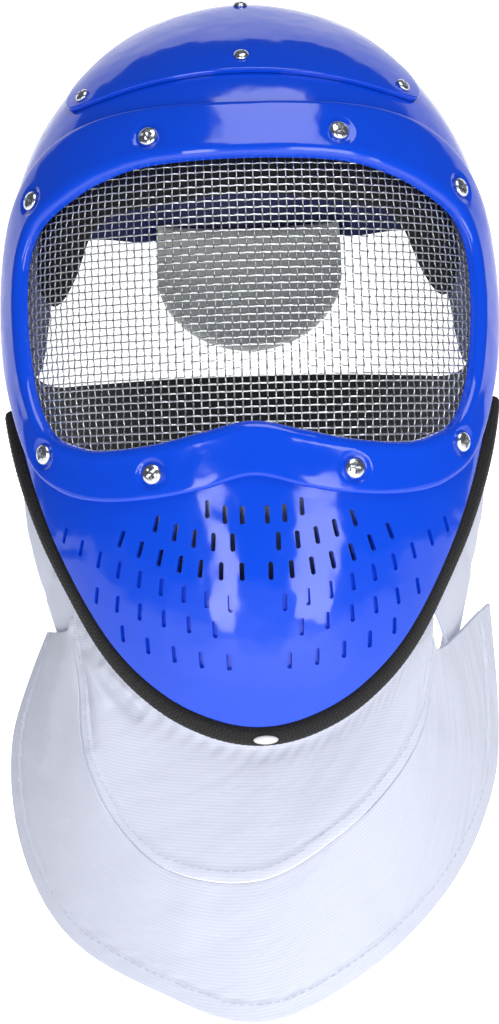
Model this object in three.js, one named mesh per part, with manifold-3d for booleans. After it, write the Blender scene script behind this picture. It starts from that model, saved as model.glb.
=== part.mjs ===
// Fencing mask: a blue moulded shell with a woven wire visor, a webbing-bound chin edge and a cotton bib.
// Millimetres, +Z up, the face looks along -Y; the origin is where the crown rests on the head.
import * as THREE from 'three';
import { mergeVertices } from 'three/addons/utils/BufferGeometryUtils.js';
import Module from 'manifold-3d';

const wasm = await Module();
wasm.setup();

// Wall thicknesses and the seat between neighbouring pieces.
const SEAT_GAP = 0.3;
const SHELL_WALL = 3.0;
const CROWN_PLATE_WALL = 2.2;
const WIRE_MESH_WALL = 1.0;
const WIRE_MESH_SEAT = 0.8;
const CLOTH_WALL = 1.8;
const STRAP_WALL = 2.0;
const TONGUE_WALL = 6.0;
const BROW_PAD_WALL = 10.0;
const BROW_PAD_SEAT = 1.0;

// The head form, the outside of the shell: its widest ring lies EQUATOR_Z below the crown.
const EQUATOR_Z = -150;
const CROWN_RISE = SHELL_WALL - EQUATOR_Z;
const CHIN_DROP = 200;

// One row per ring of latitude, from the crown to under the chin. The reaches to the side, front and back
// are drawn in by the sine of the latitude; centre is the Y of the ring's widest place.
const HEAD_FORM = [
  { lat: 0, side: 119.5, front: 96, back: 120, centre: -5.5 },
  { lat: 20, side: 125, front: 93.5, back: 127.5, centre: -5 },
  { lat: 40, side: 119, front: 98.5, back: 138, centre: -13.4 },
  { lat: 60, side: 113.4, front: 83.8, back: 150, centre: -27.5 },
  { lat: 80, side: 107.2, front: 74.5, back: 148, centre: -36.8 },
  { lat: 100, side: 105.5, front: 79.2, back: 146, centre: -41 },
  { lat: 120, side: 107.8, front: 89.5, back: 146, centre: -44 },
  { lat: 140, side: 118, front: 101, back: 146, centre: -41 },
  { lat: 160, side: 128, front: 120, back: 146, centre: -36 },
];

// Lower edge of the shell, by turn round the head from the chin (0) past the ear to the nape (180).
const SHELL_EDGE = [
  { turn: 0, z: -308.8 },
  { turn: 15.7, z: -304.9 },
  { turn: 30.3, z: -293.8 },
  { turn: 44.2, z: -272.4 },
  { turn: 58.7, z: -233.4 },
  { turn: 66.3, z: -206.4 },
  { turn: 72.6, z: -182.1 },
  { turn: 78, z: -165 },
  { turn: 90, z: -161 },
  { turn: 106, z: -158 },
  { turn: 113, z: -146 },
  { turn: 118, z: -108 },
  { turn: 126, z: -91 },
  { turn: 148, z: -87 },
  { turn: 180, z: -86 },
];

// Edge of the crown plate: low over the brow, a corner above each temple, then high round the back.
const CROWN_PLATE_EDGE = [
  { turn: 0, z: -39 },
  { turn: 15, z: -40 },
  { turn: 30, z: -42.8 },
  { turn: 46, z: -47.1 },
  { turn: 56, z: -48.6 },
  { turn: 61, z: -45 },
  { turn: 68, z: -36 },
  { turn: 80, z: -27 },
  { turn: 110, z: -17 },
  { turn: 180, z: -14 },
];

// Visor frame, right half from the brow round the cheek to the nose: eye port edge and outer rim.
const VISOR_OUTLINE = [
  { portTurn: 0, portZ: -76.1, rimTurn: 0, rimZ: -53.4 },
  { portTurn: 24.1, portZ: -77.6, rimTurn: 26.9, rimZ: -53.9 },
  { portTurn: 37.4, portZ: -83, rimTurn: 44.5, rimZ: -57.3 },
  { portTurn: 48, portZ: -90.4, rimTurn: 57.5, rimZ: -64.2 },
  { portTurn: 58.2, portZ: -100, rimTurn: 69, rimZ: -77 },
  { portTurn: 63, portZ: -112, rimTurn: 77.5, rimZ: -95 },
  { portTurn: 64, portZ: -128, rimTurn: 82, rimZ: -122 },
  { portTurn: 62.6, portZ: -152, rimTurn: 80, rimZ: -150 },
  { portTurn: 59.6, portZ: -172, rimTurn: 72.5, rimZ: -174.5 },
  { portTurn: 53.6, portZ: -186.2, rimTurn: 63, rimZ: -198.5 },
  { portTurn: 44.8, portZ: -192.1, rimTurn: 50.5, rimZ: -210.8 },
  { portTurn: 36, portZ: -194.4, rimTurn: 37.7, rimZ: -215.1 },
  { portTurn: 22.6, portZ: -192.7, rimTurn: 23.3, rimZ: -214.7 },
  { portTurn: 11, portZ: -188.4, rimTurn: 11.4, rimZ: -211.4 },
  { portTurn: 0, portZ: -184.5, rimTurn: 0, rimZ: -206.8 },
];

// Section of the visor frame: across from port edge (0) to rim (1), height off the head form.
const FRAME_SECTION = [
  { across: 1, height: 0.9 },
  { across: 1, height: 1.8 },
  { across: 0.955, height: 2.6 },
  { across: 0.5, height: 3.0 },
  { across: 0.15, height: 2.5 },
  { across: 0, height: 0.2 },
  { across: 0, height: -2.6 },
  { across: 0.09, height: -2.6 },
  { across: 0.09, height: 0.6 },
  { across: 0.55, height: 0.8 },
];
const FRAME_FACE = 2.9;
const SHELL_PORT_ACROSS = 0.14;
const WIRE_MESH_ACROSS = 0.34;
const OUTLINE_STATIONS = 50;

// Breathing slots of the chin guard: rows by turn and height from the middle outwards, on both sides.
// The three upper rows are open; depth is how far a row is sunk into the wall.
const SLOT_WIDTH = 2.0;
const SLOT_LENGTH = 7.4;
const OPEN_SLOT = 2 * SHELL_WALL;
const BLIND_SLOT = 2.0;
const SLOT_ROWS = [
  { innerTurn: 2.9, innerZ: -222.2, outerTurn: 10.9, outerZ: -219.4, sag: 1, count: 3, lean: 2, depth: OPEN_SLOT },
  { innerTurn: 5.4, innerZ: -232.9, outerTurn: 23.7, outerZ: -224.6, sag: 2.2, count: 5, lean: 16, depth: OPEN_SLOT },
  { innerTurn: 3.5, innerZ: -244.6, outerTurn: 33.8, outerZ: -230.3, sag: 3.6, count: 7, lean: 24, depth: OPEN_SLOT },
  { innerTurn: 6.8, innerZ: -257.2, outerTurn: 53.4, outerZ: -228.4, sag: 3.9, count: 9, lean: 27, depth: BLIND_SLOT },
  { innerTurn: 11.2, innerZ: -267.4, outerTurn: 45, outerZ: -253.2, sag: 1.1, count: 6, lean: 19, depth: BLIND_SLOT },
  { innerTurn: 8.2, innerZ: -280.9, outerTurn: 38.4, outerZ: -268.9, sag: 2.5, count: 5, lean: 8, depth: BLIND_SLOT },
];

// Pan-head screws through visor frame or crown plate and shell.
const VISOR_SCREW_HEAD = { radius: 4.3, height: 2.2 };
const CROWN_SCREW_HEAD = { radius: 3.2, height: 1.8 };
const SCREW_CROWN_SHARE = 0.6;
const SCREW_RIM_SHARE = 0.45;
const SCREW_SHANK_RADIUS = 1.6;
const SCREW_HOLE_RADIUS = 2.0;
const SCREW_HOLE_LENGTH = 24;
const SCREW_REACH_INSIDE = 4.4;
const SCREW_SIDES = 6;
const VISOR_SCREWS = [
  { name: 'visor_screw_1', turn: -23.7, z: -66.8 },
  { name: 'visor_screw_2', turn: 23.7, z: -66.8 },
  { name: 'visor_screw_3', turn: -60.8, z: -87.8 },
  { name: 'visor_screw_4', turn: 60.8, z: -87.8 },
  { name: 'visor_screw_5', turn: -55.5, z: -194.7 },
  { name: 'visor_screw_6', turn: 55.5, z: -194.7 },
  { name: 'visor_screw_7', turn: -23.1, z: -204.9 },
  { name: 'visor_screw_8', turn: 23.1, z: -204.9 },
];
const CROWN_SCREWS = [
  { name: 'crown_screw_top', turn: 0, z: -0.4 },
  { name: 'crown_screw_front', turn: 0, z: -32.6 },
  { name: 'crown_screw_left', turn: -52, z: -43.8 },
  { name: 'crown_screw_right', turn: 52, z: -43.8 },
];

// Webbing binding along the chin edge: beyond is measured past the shell's edge, height off the head form.
const BINDING_END_TURN = 75;
const BINDING_STATIONS = 32;
const BINDING_SECTION = [
  { beyond: -6, height: -4.4 },
  { beyond: 0.8, height: -4.2 },
  { beyond: 1.0, height: -1.4 },
  { beyond: 5.2, height: -0.4 },
  { beyond: 9.6, height: -1.7 },
  { beyond: 10.1, height: -4.4 },
  { beyond: -6, height: -5.9 },
];
const RIVET = { turn: 1.2, beyond: 5.6, height: 0.3, width: 10.2, depth: 4.0, rise: 1.2, sides: 14 };
const RIVET_CROWN_SHARE = 0.84;

// Where every cloth of the bib starts, tucked behind the binding, and where it comes out below it.
const BIB_TUCK = { beyond: -3, height: -7.2 };
const BIB_EXIT = { beyond: 12.5, height: -7.4 };

// Upper end of the throat cloth, inside the chin guard behind the open slots.
const BIB_TOP = [
  { turn: 0, z: -213 },
  { turn: 34, z: -215 },
  { turn: 53, z: -232 },
];

// Bib, from the left side seam round the front to the right: the seam between throat and apron, and the hem.
const BIB_FOLDS = [
  { turn: -53, seamX: -78.8, seamY: -72, seamZ: -267, hemX: -91, hemY: -40, hemZ: -271 },
  { turn: -46, seamX: -76, seamY: -75, seamZ: -295, hemX: -108, hemY: -36, hemZ: -316 },
  { turn: -38, seamX: -73, seamY: -80, seamZ: -320, hemX: -105, hemY: -48, hemZ: -360 },
  { turn: -28, seamX: -61, seamY: -88, seamZ: -347, hemX: -85, hemY: -70, hemZ: -395 },
  { turn: -16, seamX: -39, seamY: -98, seamZ: -366, hemX: -48, hemY: -93, hemZ: -415 },
  { turn: 0, seamX: -2, seamY: -104, seamZ: -370, hemX: -3, hemY: -107, hemZ: -427 },
  { turn: 16, seamX: 32, seamY: -101, seamZ: -352, hemX: 42, hemY: -97, hemZ: -408 },
  { turn: 28, seamX: 53, seamY: -93, seamZ: -333, hemX: 76, hemY: -74, hemZ: -380 },
  { turn: 38, seamX: 66, seamY: -84, seamZ: -314, hemX: 96, hemY: -52, hemZ: -347 },
  { turn: 45, seamX: 70.5, seamY: -78, seamZ: -299, hemX: 102, hemY: -40, hemZ: -315 },
  { turn: 50, seamX: 73, seamY: -75, seamZ: -280, hemX: 100, hemY: -35, hemZ: -264 },
];
const BIB_COLUMNS = 24;
const THROAT_ROWS = 6;
const APRON_ROWS = 4;
const SEAM_GAP = 0.4;

// Side cloths, from behind the end of the apron up to the ear: a middle fold and the rear edge.
// under is how far the cloth lies behind the throat where both hang from the binding.
const SIDE_COLUMNS = 7;
const SIDE_ROWS = 5;
const LEFT_SIDE_FOLDS = [
  { turn: -54, under: 2.6, midX: -80.5, midY: -48, midZ: -288, rearX: -78, rearY: -12, rearZ: -298 },
  { turn: -65, under: 0, midX: -96, midY: -38, midZ: -238, rearX: -92, rearY: -4, rearZ: -242 },
  { turn: -74, under: 0, midX: -101.5, midY: -32, midZ: -196, rearX: -98, rearY: 4, rearZ: -197 },
];
const RIGHT_SIDE_FOLDS = [
  { turn: 51, under: 2.6, midX: 82, midY: -48, midZ: -288, rearX: 78, rearY: -12, rearZ: -296 },
  { turn: 64, under: 0, midX: 94.5, midY: -38, midZ: -238, rearX: 91, rearY: -4, rearZ: -242 },
  { turn: 74, under: 0, midX: 101.5, midY: -32, midZ: -196, rearX: 98, rearY: 4, rearZ: -197 },
];

// Inside: foam brow band, padded tongue at the nape and the elastic strap across the open back.
const BROW_PAD_TURN = 68;
const BROW_PAD_EDGES = [
  { turn: 0, top: -48, bottom: -88 },
  { turn: 35, top: -56, bottom: -93 },
  { turn: 43, top: -62, bottom: -101 },
  { turn: 50, top: -70, bottom: -122 },
  { turn: 58, top: -82, bottom: -131 },
  { turn: 68, top: -94, bottom: -124 },
];
const TONGUE = { halfTurn: 29, topZ: -78, shoulderZ: -106, bottomZ: -143, seat: 7.5, lean: 10 };
const STRAP_LINE = [
  { along: 0, x: 0, y: 101, z: -178.4, height: 50 },
  { along: 1, x: 28, y: 96, z: -178.9, height: 50 },
  { along: 2, x: 56, y: 79, z: -179.7, height: 48 },
  { along: 3, x: 78, y: 50, z: -181.5, height: 46 },
  { along: 4, x: 91.5, y: 20, z: -181, height: 41 },
  { along: 5, x: 98, y: -12, z: -174, height: 35 },
  { along: 6, x: 100.8, y: -43, z: -162, height: 30 },
];

const PLASTIC_BLUE = 0x1446e0;
const STEEL = 0xc9ccd0;
const WEBBING_BLACK = 0x2a2a2c;
const COTTON_WHITE = 0xdde0ee;
const TONGUE_GREY = 0x7e837e;
const ELASTIC_BLACK = 0x151515;

// One row of a table read between its rows: smooth through them and level at both ends.
function rowAt(table, key, t) {
  const last = table.length - 1;
  let i = 0;
  while (i < last - 1 && t > table[i + 1][key]) i += 1;
  const span = table[i + 1][key] - table[i][key];
  const u = THREE.MathUtils.clamp((t - table[i][key]) / span, 0, 1);
  const slope = (k, column) => {
    if (k === 0 || k === last) return 0;
    return (table[k + 1][column] - table[k - 1][column]) / (table[k + 1][key] - table[k - 1][key]);
  };
  const row = {};
  for (const column of Object.keys(table[0])) {
    const a = table[i][column];
    const b = table[i + 1][column];
    const bend = (1 - u) * slope(i, column) - u * slope(i + 1, column);
    const rise = (b - a) * (1 - 2 * u);
    row[column] = a + (b - a) * u + u * (1 - u) * (span * bend - rise);
  }
  return row;
}

function latitudeOf(z) {
  const reach = z >= EQUATOR_Z ? CROWN_RISE : CHIN_DROP;
  return THREE.MathUtils.radToDeg(Math.acos(THREE.MathUtils.clamp((z - EQUATOR_Z) / reach, -1, 1)));
}

function formPoint(turn, lat) {
  const ring = rowAt(HEAD_FORM, 'lat', Math.abs(lat));
  const angle = THREE.MathUtils.degToRad(turn);
  const level = THREE.MathUtils.degToRad(lat);
  const reach = Math.cos(angle) * Math.sin(level) > 0 ? ring.front : ring.back;
  const x = ring.side * Math.sin(level) * Math.sin(angle);
  const y = ring.centre - reach * Math.sin(level) * Math.cos(angle);
  const z = EQUATOR_Z + (lat < 90 ? CROWN_RISE : CHIN_DROP) * Math.cos(level);
  return new THREE.Vector3(x, y, z);
}

function formNormal(turn, lat) {
  if (lat < 0.01) return new THREE.Vector3(0, 0, 1);
  const step = 0.02;
  const round = formPoint(turn + step, lat).sub(formPoint(turn - step, lat));
  const down = formPoint(turn, lat + step).sub(formPoint(turn, lat - step));
  return down.cross(round).normalize();
}

// A point of the head form, lifted off it by height.
function onForm(turn, lat, height) {
  return formPoint(turn, lat).addScaledVector(formNormal(turn, lat), height);
}

// Closed mesh from triangles of points: flat ones are left out and the faces look outwards.
function solidOf(triangles) {
  const kept = triangles.filter(([a, b, c]) => {
    const area = b.clone().sub(a).cross(c.clone().sub(a)).length();
    return area > 1e-7;
  });
  const volume = kept.reduce((sum, [a, b, c]) => sum + a.dot(b.clone().cross(c)), 0);
  const facing = kept.map(([a, b, c]) => (volume < 0 ? [a, c, b] : [a, b, c]));
  const geometry = new THREE.BufferGeometry();
  const positions = new Float32Array(facing.flat().flatMap((p) => [p.x, p.y, p.z]));
  geometry.setAttribute('position', new THREE.BufferAttribute(positions, 3));
  return mergeVertices(geometry, 1e-5);
}

function quad(a, b, c, d) {
  return [[a, b, c], [a, c, d]];
}

// A wall between two matching grids of points, given as columns of rows; wrap joins the last to the first.
function wallBetween(outer, inner, wrap) {
  const triangles = [];
  const columns = outer.length;
  const rows = outer[0].length;
  const steps = wrap ? columns : columns - 1;
  for (let i = 0; i < steps; i += 1) {
    const n = (i + 1) % columns;
    for (let j = 0; j < rows - 1; j += 1) {
      triangles.push(...quad(outer[i][j], outer[i][j + 1], outer[n][j + 1], outer[n][j]));
      triangles.push(...quad(inner[i][j], inner[n][j], inner[n][j + 1], inner[i][j + 1]));
    }
    const end = rows - 1;
    triangles.push(...quad(outer[i][end], inner[i][end], inner[n][end], outer[n][end]));
    triangles.push(...quad(outer[i][0], outer[n][0], inner[n][0], inner[i][0]));
  }
  if (!wrap) {
    for (let j = 0; j < rows - 1; j += 1) {
      const end = columns - 1;
      triangles.push(...quad(outer[0][j], inner[0][j], inner[0][j + 1], outer[0][j + 1]));
      triangles.push(...quad(outer[end][j], outer[end][j + 1], inner[end][j + 1], inner[end][j]));
    }
  }
  return solidOf(triangles);
}

// A cloth or band: its middle grid of points thickened to both sides.
function thickened(grid, wall) {
  const columns = grid.length;
  const rows = grid[0].length;
  const lift = (side) => grid.map((column, i) => column.map((point, j) => {
    const across = grid[Math.min(i + 1, columns - 1)][j].clone().sub(grid[Math.max(i - 1, 0)][j]);
    const down = column[Math.min(j + 1, rows - 1)].clone().sub(column[Math.max(j - 1, 0)]);
    const normal = down.cross(across).normalize();
    return point.clone().addScaledVector(normal, side * wall / 2);
  }));
  return wallBetween(lift(1), lift(-1), false);
}

// Sections of points joined one to the next: a ring, or a bar whose ends are closed with the flat section.
function sectionsJoined(sections, flatEnd) {
  const triangles = [];
  const sides = sections[0].length;
  const steps = flatEnd ? sections.length - 1 : sections.length;
  for (let i = 0; i < steps; i += 1) {
    const here = sections[i];
    const next = sections[(i + 1) % sections.length];
    for (let j = 0; j < sides; j += 1) {
      const k = (j + 1) % sides;
      triangles.push(...quad(here[j], next[j], next[k], here[k]));
    }
  }
  if (flatEnd) {
    const first = sections[0];
    const last = sections[sections.length - 1];
    for (const [a, b, c] of THREE.ShapeUtils.triangulateShape(flatEnd, [])) {
      triangles.push([first[a], first[c], first[b]], [last[a], last[b], last[c]]);
    }
  }
  return solidOf(triangles);
}

function asManifold(geometry) {
  const bare = new THREE.BufferGeometry();
  bare.setAttribute('position', geometry.getAttribute('position').clone());
  if (geometry.index) bare.setIndex(geometry.index.clone());
  const merged = mergeVertices(bare, 1e-5);
  return new wasm.Manifold(new wasm.Mesh({
    numProp: 3,
    vertProperties: new Float32Array(merged.getAttribute('position').array),
    triVerts: new Uint32Array(merged.index.array),
  }));
}

function cutFrom(geometry, cutters) {
  const tool = cutters.map(asManifold).reduce((sum, cutter) => sum.add(cutter));
  const mesh = asManifold(geometry).subtract(tool).getMesh();
  const result = new THREE.BufferGeometry();
  result.setAttribute('position', new THREE.BufferAttribute(new Float32Array(mesh.vertProperties), 3));
  result.setIndex(new THREE.BufferAttribute(new Uint32Array(mesh.triVerts), 1));
  return result;
}

// Places a shape drawn about the origin (+Y out of the surface, +Z up it) on the head form.
function placed(geometry, turn, lat, height, lean) {
  const out = formNormal(turn, lat);
  const along = formPoint(turn + 0.05, lat).sub(formPoint(turn - 0.05, lat));
  along.addScaledVector(out, -along.dot(out)).normalize();
  along.applyAxisAngle(out, THREE.MathUtils.degToRad(lean));
  const up = along.clone().cross(out);
  const frame = new THREE.Matrix4().makeBasis(along, out, up);
  frame.setPosition(onForm(turn, lat, height));
  return geometry.clone().applyMatrix4(frame);
}

// Turns round the head: close together over the face and ears, wider over the nape.
const TURN_STRETCHES = [
  { from: -90, to: 90, steps: 24 },
  { from: 90, to: 130, steps: 4 },
  { from: 130, to: 230, steps: 6 },
  { from: 230, to: 270, steps: 4 },
];
const HEAD_TURNS = TURN_STRETCHES.flatMap(({ from, to, steps }) => {
  return Array.from({ length: steps }, (_, i) => from + (to - from) * i / steps);
});
const PLATE_ROWS = 4;
const WALL_ROWS = 10;

function mirroredTurn(turn) {
  return turn > 180 ? 360 - turn : Math.abs(turn);
}

function plateLatitudes(turn) {
  const edge = latitudeOf(rowAt(CROWN_PLATE_EDGE, 'turn', mirroredTurn(turn)).z);
  return Array.from({ length: PLATE_ROWS + 1 }, (_, j) => edge * j / PLATE_ROWS);
}

function shellLatitudes(turn) {
  const top = plateLatitudes(turn);
  const from = top[PLATE_ROWS];
  const to = latitudeOf(rowAt(SHELL_EDGE, 'turn', mirroredTurn(turn)).z);
  const below = Array.from({ length: WALL_ROWS }, (_, j) => from + (to - from) * (j + 1) / WALL_ROWS);
  return [...top, ...below];
}

function domeGrid(latitudes, height) {
  return HEAD_TURNS.map((turn) => latitudes(turn).map((lat) => onForm(turn, lat, height)));
}

// Closed outline of the visor, a fraction across from the port edge to the rim, as turns and heights.
const HALF_OUTLINE = VISOR_OUTLINE.slice(1, -1);
const MIRRORED_OUTLINE = HALF_OUTLINE.map((row) => {
  return { ...row, portTurn: -row.portTurn, rimTurn: -row.rimTurn };
}).reverse();
const WHOLE_OUTLINE = [...VISOR_OUTLINE, ...MIRRORED_OUTLINE];

function outlineCurve(turnColumn, zColumn) {
  const points = WHOLE_OUTLINE.map((row) => new THREE.Vector3(row[turnColumn], row[zColumn], 0));
  return new THREE.CatmullRomCurve3(points, true, 'catmullrom', 0.5);
}

const PORT_CURVE = outlineCurve('portTurn', 'portZ');
const RIM_CURVE = outlineCurve('rimTurn', 'rimZ');

function outlineAt(fraction, across) {
  const point = PORT_CURVE.getPoint(fraction).lerp(RIM_CURVE.getPoint(fraction), across);
  return { turn: point.x, z: point.y };
}

// Frame of the chin edge at a turn: along the edge, off the surface, and away beyond the shell.
function chinEdge(turn, beyond, height) {
  const edgePoint = (t) => formPoint(t, latitudeOf(rowAt(SHELL_EDGE, 'turn', Math.abs(t)).z));
  const lat = latitudeOf(rowAt(SHELL_EDGE, 'turn', Math.abs(turn)).z);
  const tangent = edgePoint(turn + 0.2).sub(edgePoint(turn - 0.2)).normalize();
  const out = formNormal(turn, lat);
  const away = out.clone().cross(tangent).normalize().negate();
  return edgePoint(turn).addScaledVector(away, beyond).addScaledVector(out, height);
}

// Shell: the whole head form down to its edge, pierced by the eye port, the slots and the screws.
const portShape = new THREE.Shape();
for (let i = 0; i < OUTLINE_STATIONS; i += 1) {
  const { turn, z } = outlineAt(i / OUTLINE_STATIONS, SHELL_PORT_ACROSS);
  const point = formPoint(turn, latitudeOf(z));
  if (i === 0) portShape.moveTo(point.x, point.z);
  else portShape.lineTo(point.x, point.z);
}
const PORT_FRONT = -160;
const PORT_BACK = -30;
const PORT_DEPTH = PORT_BACK - PORT_FRONT;
const portCutter = new THREE.ExtrudeGeometry(portShape, { depth: PORT_DEPTH, bevelEnabled: false });
portCutter.rotateX(Math.PI / 2);
portCutter.translate(0, PORT_BACK, 0);

const slotCutters = SLOT_ROWS.flatMap((row) => {
  const slotBox = new THREE.BoxGeometry(SLOT_WIDTH, 2 * row.depth, SLOT_LENGTH);
  const places = Array.from({ length: row.count }, (_, i) => i / (row.count - 1));
  return places.flatMap((u) => {
    const turn = row.innerTurn + (row.outerTurn - row.innerTurn) * u;
    const z = row.innerZ + (row.outerZ - row.innerZ) * u - 4 * row.sag * u * (1 - u);
    const lat = latitudeOf(z);
    return [-1, 1].map((side) => placed(slotBox, side * turn, lat, 0, side * row.lean * u));
  });
});

const holeRadius = SCREW_HOLE_RADIUS;
const screwBore = new THREE.CylinderGeometry(holeRadius, holeRadius, SCREW_HOLE_LENGTH, SCREW_SIDES);
const borePlaces = (screws) => screws.map(({ turn, z }) => placed(screwBore, turn, latitudeOf(z), 0, 0));
const visorBores = borePlaces(VISOR_SCREWS);
const crownBores = borePlaces(CROWN_SCREWS);

const shellBlank = wallBetween(domeGrid(shellLatitudes, 0), domeGrid(shellLatitudes, -SHELL_WALL), true);
const shell = cutFrom(shellBlank, [portCutter, ...slotCutters, ...visorBores, ...crownBores]);

// Crown plate: a separate cap screwed over the top of the shell.
const plateTop = SEAT_GAP + CROWN_PLATE_WALL;
const plateBlank = wallBetween(domeGrid(plateLatitudes, plateTop), domeGrid(plateLatitudes, SEAT_GAP), true);
const crownPlate = cutFrom(plateBlank, crownBores);

// Visor frame: a raised band round the eye port whose inner lip turns in through the shell.
const frameSections = Array.from({ length: OUTLINE_STATIONS }, (_, i) => {
  return FRAME_SECTION.map(({ across, height }) => {
    const { turn, z } = outlineAt(i / OUTLINE_STATIONS, across);
    return onForm(turn, latitudeOf(z), height);
  });
});
const visorFrame = cutFrom(sectionsJoined(frameSections, null), visorBores);

// Wire mesh: a thin sheet bent to the inside of the shell behind the port.
const MESH_COLUMNS = 18;
const MESH_ROWS = 5;
const MESH_SAMPLES = 240;
const meshOutline = Array.from({ length: MESH_SAMPLES + 1 }, (_, i) => {
  return outlineAt((i % MESH_SAMPLES) / MESH_SAMPLES, WIRE_MESH_ACROSS);
});
const meshHalfTurn = Math.max(...meshOutline.map(({ turn }) => turn)) - 0.05;

function meshHeights(turn) {
  const crossings = [];
  for (let i = 0; i < MESH_SAMPLES; i += 1) {
    const a = meshOutline[i];
    const b = meshOutline[i + 1];
    if ((a.turn - turn) * (b.turn - turn) > 0 || a.turn === b.turn) continue;
    crossings.push(THREE.MathUtils.mapLinear(turn, a.turn, b.turn, a.z, b.z));
  }
  return { top: Math.max(...crossings), bottom: Math.min(...crossings) };
}

const meshTurns = Array.from({ length: MESH_COLUMNS + 1 }, (_, i) => {
  return -meshHalfTurn * Math.cos(Math.PI * i / MESH_COLUMNS);
});
function meshGrid(height) {
  return meshTurns.map((turn) => {
    const { top, bottom } = meshHeights(turn);
    return Array.from({ length: MESH_ROWS + 1 }, (_, j) => {
      return onForm(turn, latitudeOf(top + (bottom - top) * j / MESH_ROWS), height);
    });
  });
}
const meshOuter = -SHELL_WALL - WIRE_MESH_SEAT;
const meshInner = meshOuter - WIRE_MESH_WALL;
const visorMesh = wallBetween(meshGrid(meshOuter), meshGrid(meshInner), false);

// Screws: a low pan head and a plain shank, turned on one axis.
function screwGeometry(head, faceHeight) {
  const seat = faceHeight + SEAT_GAP;
  const profile = [
    [0, seat + head.height],
    [head.radius * SCREW_CROWN_SHARE, seat + head.height],
    [head.radius, seat + head.height * SCREW_RIM_SHARE],
    [head.radius, seat],
    [SCREW_SHANK_RADIUS, seat],
    [SCREW_SHANK_RADIUS, -SCREW_REACH_INSIDE],
    [0, -SCREW_REACH_INSIDE],
  ];
  const points = profile.map(([radius, height]) => new THREE.Vector2(radius, height));
  return new THREE.LatheGeometry(points.reverse(), SCREW_SIDES);
}

const visorScrew = screwGeometry(VISOR_SCREW_HEAD, FRAME_FACE);
const crownScrew = screwGeometry(CROWN_SCREW_HEAD, plateTop);

// Binding: folded webbing that shows below the edge of the shell, its flange lying behind it.
const bindingSections = Array.from({ length: BINDING_STATIONS + 1 }, (_, i) => {
  const turn = BINDING_END_TURN * (2 * i / BINDING_STATIONS - 1);
  return BINDING_SECTION.map(({ beyond, height }) => chinEdge(turn, beyond, height));
});
const bindingEnd = BINDING_SECTION.map(({ beyond, height }) => new THREE.Vector2(beyond, height));
const edgeBinding = sectionsJoined(bindingSections, bindingEnd);

// Rivet: a small oval stud at the middle of the binding.
const rivetDisc = new THREE.CylinderGeometry(RIVET_CROWN_SHARE / 2, 0.5, RIVET.rise, RIVET.sides);
rivetDisc.scale(RIVET.width, 1, RIVET.depth);
rivetDisc.translate(0, RIVET.rise / 2, 0);
const rivetLat = latitudeOf(rowAt(SHELL_EDGE, 'turn', RIVET.turn).z);
const rivetOut = formNormal(RIVET.turn, rivetLat);
const rivetUp = new THREE.Vector3(1, 0, 0).cross(rivetOut).normalize();
const rivetFrame = new THREE.Matrix4().makeBasis(rivetOut.clone().cross(rivetUp), rivetOut, rivetUp);
rivetFrame.setPosition(chinEdge(RIVET.turn, RIVET.beyond, RIVET.height));
const bindingRivet = rivetDisc.applyMatrix4(rivetFrame);

// Bib: every fold hangs from behind the binding over the seam to the hem.
function foldCurve(turn, under, above, below) {
  const edge = [BIB_TUCK, BIB_EXIT].map(({ beyond, height }) => chinEdge(turn, beyond, height - under));
  return new THREE.CatmullRomCurve3([...above, ...edge, ...below], false, 'centripetal');
}

// The cloth above (side -1) or below (side 1) the seam, which lies three quarters down the fold.
const SEAM_AT = 3 / 4;
function bibGrid(side, rows) {
  const first = BIB_FOLDS[0].turn;
  const last = BIB_FOLDS[BIB_FOLDS.length - 1].turn;
  return Array.from({ length: BIB_COLUMNS + 1 }, (_, i) => {
    const turn = first + (last - first) * i / BIB_COLUMNS;
    const fold = rowAt(BIB_FOLDS, 'turn', turn);
    const seam = new THREE.Vector3(fold.seamX, fold.seamY, fold.seamZ);
    const hem = new THREE.Vector3(fold.hemX, fold.hemY, fold.hemZ);
    const topLat = latitudeOf(rowAt(BIB_TOP, 'turn', Math.abs(turn)).z);
    const top = onForm(turn, topLat, BIB_TUCK.height);
    const curve = foldCurve(turn, 0, [top], [seam, hem]);
    const reach = 0.01;
    const speed = curve.getPoint(SEAM_AT + side * reach).distanceTo(seam) / reach;
    const from = SEAM_AT + side * SEAM_GAP / 2 / speed;
    const to = side < 0 ? 0 : 1;
    const places = Array.from({ length: rows + 1 }, (_unused, j) => j / rows);
    return places.map((share) => curve.getPoint(from + (to - from) * share));
  });
}
const bibThroat = thickened(bibGrid(-1, THROAT_ROWS), CLOTH_WALL);
const bibApron = thickened(bibGrid(1, APRON_ROWS), CLOTH_WALL);

function sideCloth(folds) {
  const table = folds[0].turn < 0 ? folds.map((row) => ({ ...row, order: -row.turn })) : folds;
  const key = folds[0].turn < 0 ? 'order' : 'turn';
  const first = table[0][key];
  const last = table[table.length - 1][key];
  const grid = Array.from({ length: SIDE_COLUMNS + 1 }, (_, i) => {
    const fold = rowAt(table, key, first + (last - first) * i / SIDE_COLUMNS);
    const middle = new THREE.Vector3(fold.midX, fold.midY, fold.midZ);
    const rear = new THREE.Vector3(fold.rearX, fold.rearY, fold.rearZ);
    const curve = foldCurve(fold.turn, fold.under, [], [middle, rear]);
    return Array.from({ length: SIDE_ROWS + 1 }, (_unused, j) => curve.getPoint(j / SIDE_ROWS));
  });
  return thickened(grid, CLOTH_WALL);
}

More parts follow.
